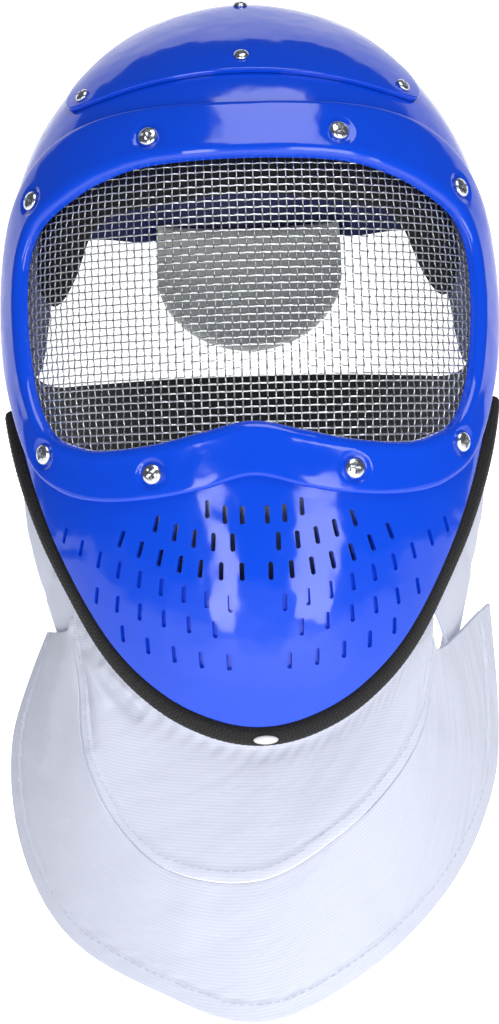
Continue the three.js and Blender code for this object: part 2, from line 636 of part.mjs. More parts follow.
// Brow pad: a foam band from temple to temple behind the top of the visor.
const PAD_COLUMNS = 18;
const PAD_ROWS = 2;
function padGrid(height) {
  return Array.from({ length: PAD_COLUMNS + 1 }, (_, i) => {
    const turn = BROW_PAD_TURN * (2 * i / PAD_COLUMNS - 1);
    const { top, bottom } = rowAt(BROW_PAD_EDGES, 'turn', Math.abs(turn));
    return Array.from({ length: PAD_ROWS + 1 }, (_unused, j) => {
      return onForm(turn, latitudeOf(top + (bottom - top) * j / PAD_ROWS), height);
    });
  });
}
const padFace = meshInner - BROW_PAD_SEAT;
const browPad = wallBetween(padGrid(padFace), padGrid(padFace - BROW_PAD_WALL), false);

// Tongue: a padded flap that hangs inside the nape and ends in a half round.
const TONGUE_COLUMNS = 10;
const TONGUE_ROWS = 5;
const tongueGrid = Array.from({ length: TONGUE_COLUMNS + 1 }, (_, i) => {
  const side = -Math.cos(Math.PI * i / TONGUE_COLUMNS);
  const round = Math.sqrt(Math.max(0, 1 - side * side));
  const bottom = TONGUE.shoulderZ + (TONGUE.bottomZ - TONGUE.shoulderZ) * round;
  return Array.from({ length: TONGUE_ROWS + 1 }, (_unused, j) => {
    const z = TONGUE.topZ + (bottom - TONGUE.topZ) * j / TONGUE_ROWS;
    const hang = Math.max(0, (TONGUE.topZ - z) / (TONGUE.topZ - TONGUE.bottomZ));
    return onForm(180 + TONGUE.halfTurn * side, latitudeOf(z), -TONGUE.seat - TONGUE.lean * hang * hang);
  });
});
const tongue = thickened(tongueGrid, TONGUE_WALL);

// Strap: a broad elastic across the open back, its ends inside the shell at the ears.
const STRAP_COLUMNS = 20;
const STRAP_ROWS = 1;
const strapEnd = STRAP_LINE[STRAP_LINE.length - 1].along;
const strapGrid = Array.from({ length: STRAP_COLUMNS + 1 }, (_, i) => {
  const along = strapEnd * (2 * i / STRAP_COLUMNS - 1);
  const { x, y, z, height } = rowAt(STRAP_LINE, 'along', Math.abs(along));
  return Array.from({ length: STRAP_ROWS + 1 }, (_unused, j) => {
    return new THREE.Vector3(Math.sign(along) * x, y, z + height * (0.5 - j / STRAP_ROWS));
  });
});
const backStrap = thickened(strapGrid, STRAP_WALL);

const mask = new THREE.Group();
mask.name = 'fencing_mask';

function addPiece(name, geometry, color, roughness, metalness) {
  const material = new THREE.MeshStandardMaterial({ color, roughness, metalness });
  const mesh = new THREE.Mesh(geometry, material);
  mesh.name = name;
  mask.add(mesh);
}

addPiece('face_shell', shell, PLASTIC_BLUE, 0.15, 0);
addPiece('crown_plate', crownPlate, PLASTIC_BLUE, 0.15, 0);
addPiece('visor_frame', visorFrame, PLASTIC_BLUE, 0.15, 0);
addPiece('visor_mesh', visorMesh, STEEL, 0.3, 1);
for (const { name, turn, z } of VISOR_SCREWS) {
  addPiece(name, placed(visorScrew, turn, latitudeOf(z), 0, 0), STEEL, 0.25, 1);
}
for (const { name, turn, z } of CROWN_SCREWS) {
  addPiece(name, placed(crownScrew, turn, latitudeOf(z), 0, 0), STEEL, 0.25, 1);
}
addPiece('edge_binding', edgeBinding, WEBBING_BLACK, 0.85, 0);
addPiece('binding_rivet', bindingRivet, COTTON_WHITE, 0.4, 0);
addPiece('bib_throat', bibThroat, COTTON_WHITE, 0.9, 0);
addPiece('bib_apron', bibApron, COTTON_WHITE, 0.9, 0);
addPiece('bib_side_left', sideCloth(LEFT_SIDE_FOLDS), COTTON_WHITE, 0.9, 0);
addPiece('bib_side_right', sideCloth(RIGHT_SIDE_FOLDS), COTTON_WHITE, 0.9, 0);
addPiece('brow_pad', browPad, ELASTIC_BLACK, 0.9, 0);
addPiece('tongue', tongue, TONGUE_GREY, 0.9, 0);
addPiece('back_strap', backStrap, ELASTIC_BLACK, 0.85, 0);

export default mask;
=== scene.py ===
"""Looks of a fencing mask: blue moulded shell, woven wire visor, webbing edge and cotton bib."""

import math

import bmesh
import bpy
import numpy as np
from mathutils import Matrix


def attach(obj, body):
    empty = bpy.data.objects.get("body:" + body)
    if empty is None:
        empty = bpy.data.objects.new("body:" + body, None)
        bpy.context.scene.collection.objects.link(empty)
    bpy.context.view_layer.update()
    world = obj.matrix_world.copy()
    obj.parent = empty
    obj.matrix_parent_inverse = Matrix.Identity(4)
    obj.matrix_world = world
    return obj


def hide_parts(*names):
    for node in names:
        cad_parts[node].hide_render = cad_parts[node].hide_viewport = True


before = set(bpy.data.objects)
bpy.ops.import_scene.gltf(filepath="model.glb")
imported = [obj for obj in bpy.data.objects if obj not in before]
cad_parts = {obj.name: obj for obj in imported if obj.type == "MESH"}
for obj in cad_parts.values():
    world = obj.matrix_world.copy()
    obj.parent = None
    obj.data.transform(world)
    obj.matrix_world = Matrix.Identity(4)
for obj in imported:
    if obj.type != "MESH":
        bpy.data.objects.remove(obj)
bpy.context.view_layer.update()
scene = bpy.context.scene
MM = 0.001
WELD = 2e-5

# Camera: level with the nose about a metre off, all but square to the face, rolled as the photograph is.
camera_data = bpy.data.cameras.new("camera")
camera_data.sensor_fit = "VERTICAL"
camera_data.sensor_height = 36.0
camera_data.lens = 77.8
camera_data.clip_start = 0.05
camera = bpy.data.objects.new("camera", camera_data)
scene.collection.objects.link(camera)
camera_turn = math.radians(0.4)
camera_aim = Matrix.Translation((-0.0029, 0.0, -0.221))
camera_back = Matrix.Translation((0.0, -1.0, 0.0))
camera_tilt = Matrix.Rotation(math.radians(90), 4, "X") @ Matrix.Rotation(math.radians(-1.75), 4, "Z")
camera.matrix_world = camera_aim @ Matrix.Rotation(camera_turn, 4, "Z") @ camera_back @ camera_tilt
scene.camera = camera

# Face shell: one glossy injection-moulded wall over forehead, ears and chin, pierced by the eye port,
# the breathing slots and the screw holes. Its outside is the head form that every other piece sits on.
HEAD_FORM = np.array([
    # latitude, side, front, back, centre
    (0, 119.5, 96, 120, -5.5),
    (20, 125, 93.5, 127.5, -5),
    (40, 119, 98.5, 138, -13.4),
    (60, 113.4, 83.8, 150, -27.5),
    (80, 107.2, 74.5, 148, -36.8),
    (100, 105.5, 79.2, 146, -41),
    (120, 107.8, 89.5, 146, -44),
    (140, 118, 101, 146, -41),
    (160, 128, 120, 146, -36),
])
EQUATOR_Z = -150.0
CROWN_RISE = 153.0
CHIN_DROP = 200.0
SHELL_WALL = 3.0
SHELL_EDGE = np.array([
    # turn, height
    (0, -308.8),
    (15.7, -304.9),
    (30.3, -293.8),
    (44.2, -272.4),
    (58.7, -233.4),
    (66.3, -206.4),
    (72.6, -182.1),
    (78, -165),
    (90, -161),
    (106, -158),
    (113, -146),
    (118, -108),
    (126, -91),
    (148, -87),
    (180, -86),
])


def table_at(table, t):
    """Columns of a table between its rows, smooth through them and level at both ends, like the CAD's."""
    keys, rows = table[:, 0], table[:, 1:]
    t = np.asarray(t, float)
    i = np.clip(np.searchsorted(keys, t, side="left") - 1, 0, len(keys) - 2)
    span = (keys[i + 1] - keys[i])[..., None]
    u = np.clip((t - keys[i]) / span[..., 0], 0, 1)[..., None]
    slope = np.zeros_like(rows)
    slope[1:-1] = (rows[2:] - rows[:-2]) / (keys[2:] - keys[:-2])[:, None]
    a, b = rows[i], rows[i + 1]
    bend = (1 - u) * slope[i] - u * slope[i + 1]
    return a + (b - a) * u + u * (1 - u) * (span * bend - (b - a) * (1 - 2 * u))


def latitude_of(z):
    """Latitude, in degrees from the crown, of a height on the head form."""
    drop = np.asarray(z, float) - EQUATOR_Z
    return np.degrees(np.arccos(np.clip(drop / np.where(drop >= 0, CROWN_RISE, CHIN_DROP), -1, 1)))


def form_point(turn, lat):
    """Point of the head form in millimetres, by turn round the head and latitude in degrees."""
    turn, lat = np.broadcast_arrays(np.asarray(turn, float), np.asarray(lat, float))
    ring = table_at(HEAD_FORM, np.abs(lat))
    angle, level = np.radians(turn), np.radians(lat)
    reach = np.where(np.cos(angle) * np.sin(level) > 0, ring[..., 1], ring[..., 2])
    x = ring[..., 0] * np.sin(level) * np.sin(angle)
    y = ring[..., 3] - reach * np.sin(level) * np.cos(angle)
    z = EQUATOR_Z + np.where(lat < 90, CROWN_RISE, CHIN_DROP) * np.cos(level)
    return np.stack([x, y, z], -1)


def unit(vectors):
    return vectors / np.maximum(np.linalg.norm(vectors, axis=-1, keepdims=True), 1e-12)


def form_normal(turn, lat, step=0.02):
    lat = np.maximum(lat, 0.05)
    down = form_point(turn, lat + step) - form_point(turn, lat - step)
    round_ = form_point(turn + step, lat) - form_point(turn - step, lat)
    return unit(np.cross(down, round_))


def on_form(turn, lat, height):
    """Point lifted off the head form by a height in millimetres."""
    return form_point(turn, lat) + np.asarray(height, float)[..., None] * form_normal(turn, lat)


def edge_height(turn):
    return table_at(SHELL_EDGE, np.abs(turn))[..., 0]


def grid_faces(columns, rows, wrap_columns=False, wrap_rows=False):
    """Quads of a grid of points, numbered column by column."""
    i = np.arange(columns if wrap_columns else columns - 1)
    j = np.arange(rows if wrap_rows else rows - 1)
    i, j = np.meshgrid(i, j, indexing="ij")
    near, far = i * rows, (i + 1) % columns * rows
    below = (j + 1) % rows
    return np.stack([near + j, near + below, far + below, far + j], -1).reshape(-1, 4)


def new_object(name, points, faces, uv=None, sharp=None):
    """Smooth mesh object from points in millimetres; uv is in millimetres too, one pair for each point."""
    mesh = bpy.data.meshes.new(name)
    corners = (np.asarray(points).reshape(-1, 3) * MM).tolist()
    mesh.from_pydata(corners, [], [list(map(int, face)) for face in faces])
    if uv is not None:
        corner = np.empty(len(mesh.loops), int)
        mesh.loops.foreach_get("vertex_index", corner)
        layer = mesh.uv_layers.new(name="cloth")
        layer.data.foreach_set("uv", np.asarray(uv).reshape(-1, 2)[corner].astype(np.float32).ravel())
    mesh.shade_smooth()
    if sharp:
        mesh.set_sharp_from_angle(angle=math.radians(sharp))
    mesh.validate()
    obj = bpy.data.objects.new(name, mesh)
    scene.collection.objects.link(obj)
    return obj


def wall(name, outer, inner, wrap=False, pole=False, uv=None, sharp=50):
    """Closed wall between two grids of points given as columns of rows; a pole leaves its first row shut."""
    columns, rows = outer.shape[:2]
    ring = np.concatenate([outer, inner[:, ::-1]], axis=1)
    faces = grid_faces(columns, 2 * rows, wrap, not pole)
    if not wrap:
        j = np.arange(rows - 1)
        start = np.stack([j, 2 * rows - 1 - j, 2 * rows - 2 - j, j + 1], -1)
        end = (start + (columns - 1) * 2 * rows)[:, ::-1]
        faces = np.concatenate([faces, start, end])
    if uv is not None:
        uv = np.concatenate([uv, uv[:, ::-1]], axis=1)
    obj = new_object(name, ring, faces, uv, sharp)
    if pole:
        face_outward(obj.data, join=WELD)
    return obj


def cut(obj, *cutters):
    """Takes the cutters' closed volumes out of an object and removes them."""
    for cutter in cutters:
        knife = obj.modifiers.new("cut", "BOOLEAN")
        knife.object = cutter
        knife.operation = "DIFFERENCE"
        knife.solver = "MANIFOLD"
        bpy.context.view_layer.update()
        done = bpy.data.meshes.new_from_object(obj.evaluated_get(bpy.context.evaluated_depsgraph_get()))
        obj.modifiers.clear()
        obj.data = done
        bpy.data.objects.remove(cutter)


def prisms(name, outlines, low, high):
    """Straight-sided cutters: each outline is a loop of points, pushed along its own low and high vectors."""
    points, faces = [], []
    for loop, a, b in zip(outlines, low, high):
        n, base = len(loop), len(points)
        points.extend(loop + a)
        points.extend(loop + b)
        k = np.arange(n)
        sides = np.stack([k, (k + 1) % n, (k + 1) % n + n, k + n], -1) + base
        faces.extend(sides.tolist())
        faces.append((k[::-1] + base).tolist())
        faces.append((k + n + base).tolist())
    made = new_object(name, np.array(points), faces)
    face_outward(made.data)
    return made


def face_outward(mesh, join=0.0):
    """Turns every face of a closed mesh outward, first joining points closer than join metres."""
    work = bmesh.new()
    work.from_mesh(mesh)
    if join:
        bmesh.ops.remove_doubles(work, verts=work.verts, dist=join)
    bmesh.ops.recalc_face_normals(work, faces=work.faces)
    work.to_mesh(mesh)
    work.free()


def facing(turn, lat, lean=0.0):
    """Axes of a fitting on the form: along the head, out of it and up it, turned by lean degrees."""
    out = form_normal(turn, lat)
    along = form_point(turn + 0.05, lat) - form_point(turn - 0.05, lat)
    along = unit(along - (along * out).sum(-1, keepdims=True) * out)
    up = np.cross(along, out)
    c, s = np.cos(np.radians(lean))[..., None], np.sin(np.radians(lean))[..., None]
    return along * c - up * s, out, up * c + along * s


SLOT_WIDTH, SLOT_LENGTH = 2.0, 7.4
SLOT_ROWS = [
    # inner turn, inner height, outer turn, outer height, sag, count, lean, depth into the wall
    (2.9, -222.2, 10.9, -219.4, 1.0, 3, 2, 6.0),
    (5.4, -232.9, 23.7, -224.6, 2.2, 5, 16, 6.0),
    (3.5, -244.6, 33.8, -230.3, 3.6, 7, 24, 6.0),
    (6.8, -257.2, 53.4, -228.4, 3.9, 9, 27, 2.0),
    (11.2, -267.4, 45.0, -253.2, 1.1, 6, 19, 2.0),
    (8.2, -280.9, 38.4, -268.9, 2.5, 5, 8, 2.0),
]
VISOR_OUTLINE = np.array([
    # port turn, port height, rim turn, rim height, from the brow round the cheek to the nose
    (0, -76.1, 0, -53.4),
    (24.1, -77.6, 26.9, -53.9),
    (37.4, -83, 44.5, -57.3),
    (48, -90.4, 57.5, -64.2),
    (58.2, -100, 69, -77),
    (63, -112, 77.5, -95),
    (64, -128, 82, -122),
    (62.6, -152, 80, -150),
    (59.6, -172, 72.5, -174.5),
    (53.6, -186.2, 63, -198.5),
    (44.8, -192.1, 50.5, -210.8),
    (36, -194.4, 37.7, -215.1),
    (22.6, -192.7, 23.3, -214.7),
    (11, -188.4, 11.4, -211.4),
    (0, -184.5, 0, -206.8),
])
mirrored = VISOR_OUTLINE[-2:0:-1] * (-1, 1, -1, 1)
VISOR_LOOP = np.concatenate([VISOR_OUTLINE, mirrored])


def visor_outline(fraction, across):
    """Turn and height a fraction round the visor's loop, across from the port edge (0) to the rim (1)."""
    fraction, across = np.broadcast_arrays(np.asarray(fraction, float), np.asarray(across, float))
    place = fraction % 1 * len(VISOR_LOOP)
    i = place.astype(int)
    u = (place - i)[..., None]
    p0, p1, p2, p3 = (VISOR_LOOP[(i + k) % len(VISOR_LOOP)] for k in (-1, 0, 1, 2))
    cubic = 3 * (p1 - p2) + p3 - p0
    square = 2 * p0 - 5 * p1 + 4 * p2 - p3
    row = p1 + 0.5 * u * (p2 - p0 + u * (square + u * cubic))
    turn = row[..., 0] + (row[..., 2] - row[..., 0]) * across
    height = row[..., 1] + (row[..., 3] - row[..., 1]) * across
    return turn, height


CROWN_PLATE_EDGE = np.array([
    # turn, height
    (0, -39),
    (15, -40),
    (30, -42.8),
    (46, -47.1),
    (56, -48.6),
    (61, -45),
    (68, -36),
    (80, -27),
    (110, -17),
    (180, -14),
])
VISOR_SCREWS = [
    (side * turn, height)
    for turn, height in ((23.7, -66.8), (60.8, -87.8), (55.5, -194.7), (23.1, -204.9))
    for side in (-1, 1)
]
CROWN_SCREWS = {"top": (0, -0.4), "front": (0, -32.6), "left": (-52, -43.8), "right": (52, -43.8)}


def steps(start, stop, count):
    """Columns of evenly spaced values, each from its start to its stop."""
    return start[:, None] + (stop - start)[:, None] * np.linspace(0, 1, count)


def shell_edge(turn):
    return latitude_of(edge_height(turn))


def plate_edge(turn):
    return latitude_of(table_at(CROWN_PLATE_EDGE, np.abs(turn))[..., 0])


DOME_COLUMNS = 240
TEMPLE_TURNS = (57, 74)


def ramp(value, low, high):
    """0 below low, 1 above high, eased between."""
    t = np.clip((value - low) / (high - low), 0, 1)
    return t * t * (3 - 2 * t)


def dome(name, top_height, wall_mm, radius, edge, count, thinned=0.0):
    """Closed cap of the head form down to an edge with a rounded corner, thinned behind the temples."""
    turn = np.linspace(-180, 180, DOME_COLUMNS + 1)[:-1]
    lowest = edge(turn)
    per_degree = np.linalg.norm(form_point(turn, lowest + 0.5) - form_point(turn, lowest - 0.5), axis=-1)
    bend = np.radians(np.linspace(0, 90, 6))
    straight = lowest - radius / per_degree
    upper = np.minimum(plate_edge(turn), straight)
    cap = steps(np.zeros(DOME_COLUMNS), upper, count // 3)
    rows = np.concatenate([cap, steps(upper, straight, count)[:, 1:]], axis=1)
    corner = straight[:, None] + radius * np.sin(bend[1:]) / per_degree[:, None]
    lat = np.concatenate([rows, corner], axis=1)
    drop = np.concatenate([np.zeros(rows.shape[1]), radius * (np.cos(bend[1:]) - 1)])
    thin = thinned * ramp(np.abs(turn), *TEMPLE_TURNS)[:, None] * ramp(lat / lowest[:, None], 0.3, 0.95)
    outer = on_form(turn[:, None], lat, top_height + drop * (1 - thin / wall_mm) - thin)
    inner = on_form(turn[:, None], lat, np.full(lat.shape, top_height - wall_mm))
    return wall(name, outer, inner, wrap=True, pole=True)


def bores(name, places, radius=2.0):
    """Cutters for the screw holes, each square to the form."""
    turn, height = np.array(list(places), float).T
    lat = latitude_of(height)
    along, out, up = facing(turn, lat)
    k = np.radians(np.arange(0, 360, 30))
    rings = radius * (np.cos(k)[None, :, None] * along[:, None] + np.sin(k)[None, :, None] * up[:, None])
    centre = form_point(turn, lat)
    return prisms(name, rings + centre[:, None], -12 * out, 12 * out)


def slot_cutters():
    """Cutters for the breathing slots, round at both ends; the lower rows stop inside the wall."""
    turns, heights, leans, depths = [], [], [], []
    for inner_turn, inner_z, outer_turn, outer_z, sag, count, lean, depth in SLOT_ROWS:
        u = np.linspace(0, 1, count)
        for side in (-1, 1):
            turns.extend(side * (inner_turn + (outer_turn - inner_turn) * u))
            heights.extend(inner_z + (outer_z - inner_z) * u - 4 * sag * u * (1 - u))
            leans.extend(side * lean * u)
            depths.extend([depth] * count)
    lat = latitude_of(heights)
    along, out, up = facing(np.array(turns), lat, np.array(leans))
    k = np.radians(np.arange(15, 375, 30))
    x = SLOT_WIDTH / 2 * np.cos(k)
    z = SLOT_WIDTH / 2 * np.sin(k) + np.sign(np.sin(k)) * (SLOT_LENGTH - SLOT_WIDTH) / 2
    loops = x[None, :, None] * along[:, None] + z[None, :, None] * up[:, None]
    sunk = np.array(depths)[:, None] * out
    return prisms("slots", loops + form_point(np.array(turns), lat)[:, None], -sunk, sunk)


SHELL_PORT_ACROSS = 0.14


def port_cutter():
    turn, height = visor_outline(np.linspace(0, 1, 201)[:-1], SHELL_PORT_ACROSS)
    loop = form_point(turn, latitude_of(height))
    loop[:, 1] = 0
    return prisms("port", [loop], [np.array((0, -30, 0))], [np.array((0, -160, 0))])


WALL_AGREE = 0.93


def follow_form(obj):
    """Shades an object's walls by the head form's own normals and marks the faces of its inside, where the
    plastic gets its painted shade.
    """
    mesh = obj.data
    count = len(mesh.loops)
    corner = np.empty(count, int)
    mesh.loops.foreach_get("vertex_index", corner)
    place = np.empty(len(mesh.vertices) * 3)
    mesh.vertices.foreach_get("co", place)
    place = place.reshape(-1, 3) / MM
    face_normal = np.empty(len(mesh.polygons) * 3)
    mesh.polygons.foreach_get("normal", face_normal)
    total = np.empty(len(mesh.polygons), int)
    mesh.polygons.foreach_get("loop_total", total)
    flat = np.repeat(face_normal.reshape(-1, 3), total, axis=0)
    base = place.copy()
    for _ in range(3):
        lat = latitude_of(np.clip(base[:, 2], EQUATOR_Z - CHIN_DROP, SHELL_WALL))
        ring = table_at(HEAD_FORM, lat)
        level = np.sin(np.radians(lat)) + 1e-9
        ahead = (ring[:, 3] - base[:, 1]) / level
        reach = np.where(ahead > 0, ring[:, 1], ring[:, 2])
        turn = np.degrees(np.arctan2(base[:, 0] / level / ring[:, 0], ahead / reach))
        normal = form_normal(turn, lat)
        away = ((place - form_point(turn, lat)) * normal).sum(-1, keepdims=True)
        base = place - away * normal
    smooth = normal[corner]
    agree = (smooth * flat).sum(-1)
    outer, inner = (agree > WALL_AGREE)[:, None], (agree < -WALL_AGREE)[:, None]
    chosen = np.where(outer, smooth, np.where(inner, -smooth, flat))
    mesh.normals_split_custom_set(chosen.tolist())
    first = np.cumsum(total) - total
    inside = mesh.attributes.new("inside", "FLOAT", "FACE")
    inside.data.foreach_set("value", (agree[first] < -0.5).astype(np.float32))


def srgb(code):
    """Linear colour of an sRGB hex code."""
    parts = [int(code[i:i + 2], 16) / 255 for i in (1, 3, 5)]
    return tuple(c / 12.92 if c <= 0.04045 else ((c + 0.055) / 1.055) ** 2.4 for c in parts) + (1.0,)


def add(tree, kind, inputs=(), **settings):
    """Adds a shader node; inputs maps a socket's name or number to a value or to the socket that feeds it."""
    made = tree.nodes.new(kind)
    for key, value in settings.items():
        setattr(made, key, value)
    for key, value in dict(inputs).items():
        if isinstance(value, bpy.types.NodeSocket):
            tree.links.new(value, made.inputs[key])
        else:
            made.inputs[key].default_value = value
    return made


def material(name):
    """Empty material and its node tree."""
    made = bpy.data.materials.new(name)
    made.use_nodes = True
    made.node_tree.nodes.clear()
    return made, made.node_tree


def finish_surface(tree, shader):
    add(tree, "ShaderNodeOutputMaterial", {"Surface": shader})


def dress(obj, surface, slot, *nodes):
    """Gives a piece its material, hides its CAD nodes and lets it ride on the one body; slot is not used."""
    obj.data.materials.clear()
    obj.data.materials.append(surface)
    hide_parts(*nodes)
    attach(obj, "root")


# Gloss-moulded plastic: deep blue with a clear skin; faint flow waves make the reflections' edges wander.
# The inside is left matt and painted navy: painted shade, the same blue plastic darkened as the shadowed inside
# of the shell.
blue_plastic, tree = material("gloss_moulded_plastic")
place = add(tree, "ShaderNodeTexCoord").outputs["Object"]
flow = add(tree, "ShaderNodeTexNoise", {"Vector": place, "Scale": 38.0, "Detail": 2.0, "Roughness": 0.5})
peel = add(tree, "ShaderNodeTexNoise", {"Vector": place, "Scale": 260.0, "Detail": 2.0, "Roughness": 0.5})
waves = add(tree, "ShaderNodeBump", {"Strength": 0.7, "Distance": 0.0016, "Height": flow.outputs["Fac"]})
skin = add(tree, "ShaderNodeBump", {
    "Strength": 0.12, "Distance": 0.00012, "Height": peel.outputs["Fac"], "Normal": waves.outputs["Normal"]})
rubbed = add(tree, "ShaderNodeTexNoise", {"Vector": place, "Scale": 22.0, "Detail": 5.0, "Roughness": 0.6})
gloss = add(tree, "ShaderNodeMapRange", {
    "Value": rubbed.outputs["Fac"], "From Min": 0.3, "From Max": 0.75, "To Min": 0.07, "To Max": 0.15})
inside = add(tree, "ShaderNodeAttribute", attribute_name="inside").outputs["Fac"]
# Inside faces take a navy that is painted shade on the one blue plastic, not a second plastic.
blue_and_painted_inner_shade = add(tree, "ShaderNodeMix", {
    "Factor": inside, "A": srgb("#0B49DA"), "B": srgb("#10185A")}, data_type="RGBA")
matt = add(tree, "ShaderNodeMath", {0: inside, 1: 0.4, 2: gloss.outputs["Result"]}, operation="MULTIPLY_ADD")
plastic = add(tree, "ShaderNodeBsdfPrincipled", {
    "Base Color": blue_and_painted_inner_shade.outputs["Result"], "Roughness": matt.outputs[0], "IOR": 1.5,
    "Normal": skin.outputs["Normal"]})
finish_surface(tree, plastic.outputs["BSDF"])

shell = dome("face_shell_skin", 0.0, SHELL_WALL, 1.4, shell_edge, 84)
cut(shell, port_cutter(), slot_cutters(), bores("bores", VISOR_SCREWS + list(CROWN_SCREWS.values())))
follow_form(shell)
dress(shell, blue_plastic, "blue_plastic", "face_shell")

# Crown plate: a second moulded cap screwed over the top of the shell; its rounded rim throws a thin shadow
# over the brow and runs out thin behind the temples.
PLATE_SEAT, PLATE_WALL = 0.3, 2.2
plate_face = PLATE_SEAT + PLATE_WALL
plate = dome("crown_plate_skin", plate_face, PLATE_WALL, 1.0, plate_edge, 48, thinned=1.5)
cut(plate, bores("plate_bores", CROWN_SCREWS.values()))
follow_form(plate)
dress(plate, blue_plastic, "blue_plastic", "crown_plate")

# Visor frame: a moulded band screwed round the eye port, with a rolled lip that turns in through the shell
# and a shallow dish pressed round every screw.
FRAME_PROFILE = np.array([
    # step, across from port edge to rim, height off the form
    (0, 0.09, -2.6),
    (1, 0.045, -3.0),
    (2, 0.0, -2.4),
    (3, 0.0, -0.8),
    (4, 0.012, 0.7),
    (5, 0.05, 1.95),
    (6, 0.105, 2.75),
    (7, 0.18, 3.05),
    (8, 0.27, 2.95),
    (9, 0.40, 2.85),
    (10, 0.55, 2.85),
    (11, 0.70, 2.85),
    (12, 0.84, 2.8),
    (13, 0.93, 2.65),
    (14, 0.978, 2.2),
    (15, 1.0, 1.4),
    (16, 1.0, 0.9),
])
FRAME_UNDERSIDE = np.array([(0.8, 0.85), (0.55, 0.75), (0.3, 0.65), (0.09, 0.6)])
DISH_DEPTH, DISH_FLOOR, DISH_RIM = 0.9, 5.0, 6.9
FRAME_FACE_ROWS, FRAME_STATIONS = 65, 720


def visor_frame():
    face = table_at(FRAME_PROFILE, np.linspace(0, FRAME_PROFILE[-1, 0], FRAME_FACE_ROWS))
    section = np.concatenate([face, FRAME_UNDERSIDE])
    fraction = np.linspace(0, 1, FRAME_STATIONS + 1)[:-1]
    turn, height = visor_outline(fraction[:, None], section[None, :, 0])
    lat = latitude_of(height)
    ground = form_point(turn, lat)
    lift = np.broadcast_to(section[:, 1], lat.shape).copy()
    screw_turn, screw_z = np.array(VISOR_SCREWS, float).T
    for centre in form_point(screw_turn, latitude_of(screw_z)):
        away = np.linalg.norm(ground - centre, axis=-1)
        dish = DISH_DEPTH * (1 - ramp(away, DISH_FLOOR, DISH_RIM))
        lift[:, :FRAME_FACE_ROWS] -= dish[:, :FRAME_FACE_ROWS]
    points = on_form(turn, lat, lift)
    faces = grid_faces(FRAME_STATIONS, len(section), True, True)[:, ::-1]
    return new_object("visor_frame_skin", points, faces, sharp=60)


bezel = visor_frame()
cut(bezel, bores("frame_bores", VISOR_SCREWS))
bezel.data.shade_smooth()
bezel.data.set_sharp_from_angle(angle=math.radians(55))
dress(bezel, blue_plastic, "blue_plastic", "visor_frame")

# Visor mesh: crimped stainless wires woven over and under one another, bent to the inside of the shell.
WIRE_ACROSS, WIRE_DOWN, WIRE_RADIUS = 3.45, 3.15, 0.34
WIRE_SEAT = -4.3
MESH_REACH = 0.32
WIRE_COLUMNS = 72


def arc_turns(z, arcs):
    """Turns at which arcs, in millimetres from the middle, lie along the form at height z."""
    turn = np.linspace(-85, 85, 341)
    line = form_point(turn, latitude_of(z))
    run = np.concatenate([[0], np.cumsum(np.linalg.norm(np.diff(line, axis=0), axis=-1))])
    return np.interp(arcs, run - run[len(run) // 2], turn)


def wire_tubes(paths, radius, sides=6):
    """Points and quads of round wires along paths of (points, outward normals)."""
    points, faces, base = [], [], 0
    k = np.radians(np.arange(sides) * 360 / sides)
    for line, out in paths:
        along = unit(np.gradient(line, axis=0))
        across = unit(np.cross(along, out))
        lift = np.cross(across, along)
        ring = radius * (np.cos(k)[None, :, None] * across[:, None] + np.sin(k)[None, :, None] * lift[:, None])
        points.append((line[:, None] + ring).reshape(-1, 3))
        faces.append(grid_faces(len(line), sides, False, True) + base)
        base += len(line) * sides
    return np.concatenate(points), np.concatenate(faces)


def woven_wires():
    """Upright and level wires inside the frame, placed every half pitch to cross over and under."""
    border_turn, border_z = visor_outline(np.linspace(0, 1, 400), MESH_REACH)
    half = WIRE_DOWN / 2
    lowest, highest = (border_z.min() - EQUATOR_Z) / half, (border_z.max() - EQUATOR_Z) / half
    rows = np.arange(math.ceil(lowest), math.floor(highest) + 1)
    heights = EQUATOR_Z + rows * half
    columns = np.arange(-WIRE_COLUMNS, WIRE_COLUMNS + 1)
    turns = np.array([arc_turns(z, columns * WIRE_ACROSS / 2) for z in heights])
    lat = np.broadcast_to(latitude_of(heights)[:, None], turns.shape)
    out = form_normal(turns, lat)
    ground = form_point(turns, lat)
    inside = inside_loop(turns, np.broadcast_to(heights[:, None], turns.shape), border_turn, border_z)
    paths = []
    for lanes, run, upright in ((columns, rows, True), (rows, columns, False)):
        for lane, number in enumerate(lanes):
            pick = (slice(None), lane) if upright else (lane, slice(None))
            keep = inside[pick]
            if number % 2 or keep.sum() < 3:
                continue
            crimp = np.cos(np.pi / 2 * (run + number)) * (1 if upright else -1)
            line = ground[pick] + out[pick] * (WIRE_SEAT + WIRE_RADIUS * crimp)[:, None]
            paths.append((line[keep], out[pick][keep]))
    return wire_tubes(paths, WIRE_RADIUS)


def inside_loop(x, y, loop_x, loop_y):
    """True where points lie inside a closed outline."""
    inside = np.zeros(x.shape, bool)
    for ax, ay, bx, by in zip(loop_x, loop_y, np.roll(loop_x, -1), np.roll(loop_y, -1)):
        if ay == by:
            continue
        crossing = (ay > y) != (by > y)
        inside ^= crossing & (x < ax + (y - ay) * (bx - ax) / (by - ay))
    return inside


# Drawn stainless wire: bright, with a fine dull grain from drawing and weaving.
steel_wire, tree = material("drawn_stainless_wire")
place = add(tree, "ShaderNodeTexCoord").outputs["Object"]
grain = add(tree, "ShaderNodeTexNoise", {"Vector": place, "Scale": 900.0, "Detail": 3.0})
dull = add(tree, "ShaderNodeMapRange", {
    "Value": grain.outputs["Fac"], "From Min": 0.3, "From Max": 0.7, "To Min": 0.2, "To Max": 0.38})
wire = add(tree, "ShaderNodeBsdfPrincipled", {
    "Base Color": srgb("#D6D8DA"), "Metallic": 1.0, "Roughness": dull.outputs["Result"]})
finish_surface(tree, wire.outputs["BSDF"])

mesh_points, mesh_faces = woven_wires()
visor = new_object("visor_mesh_wires", mesh_points, mesh_faces)
dress(visor, steel_wire, "steel_wire", "visor_mesh")

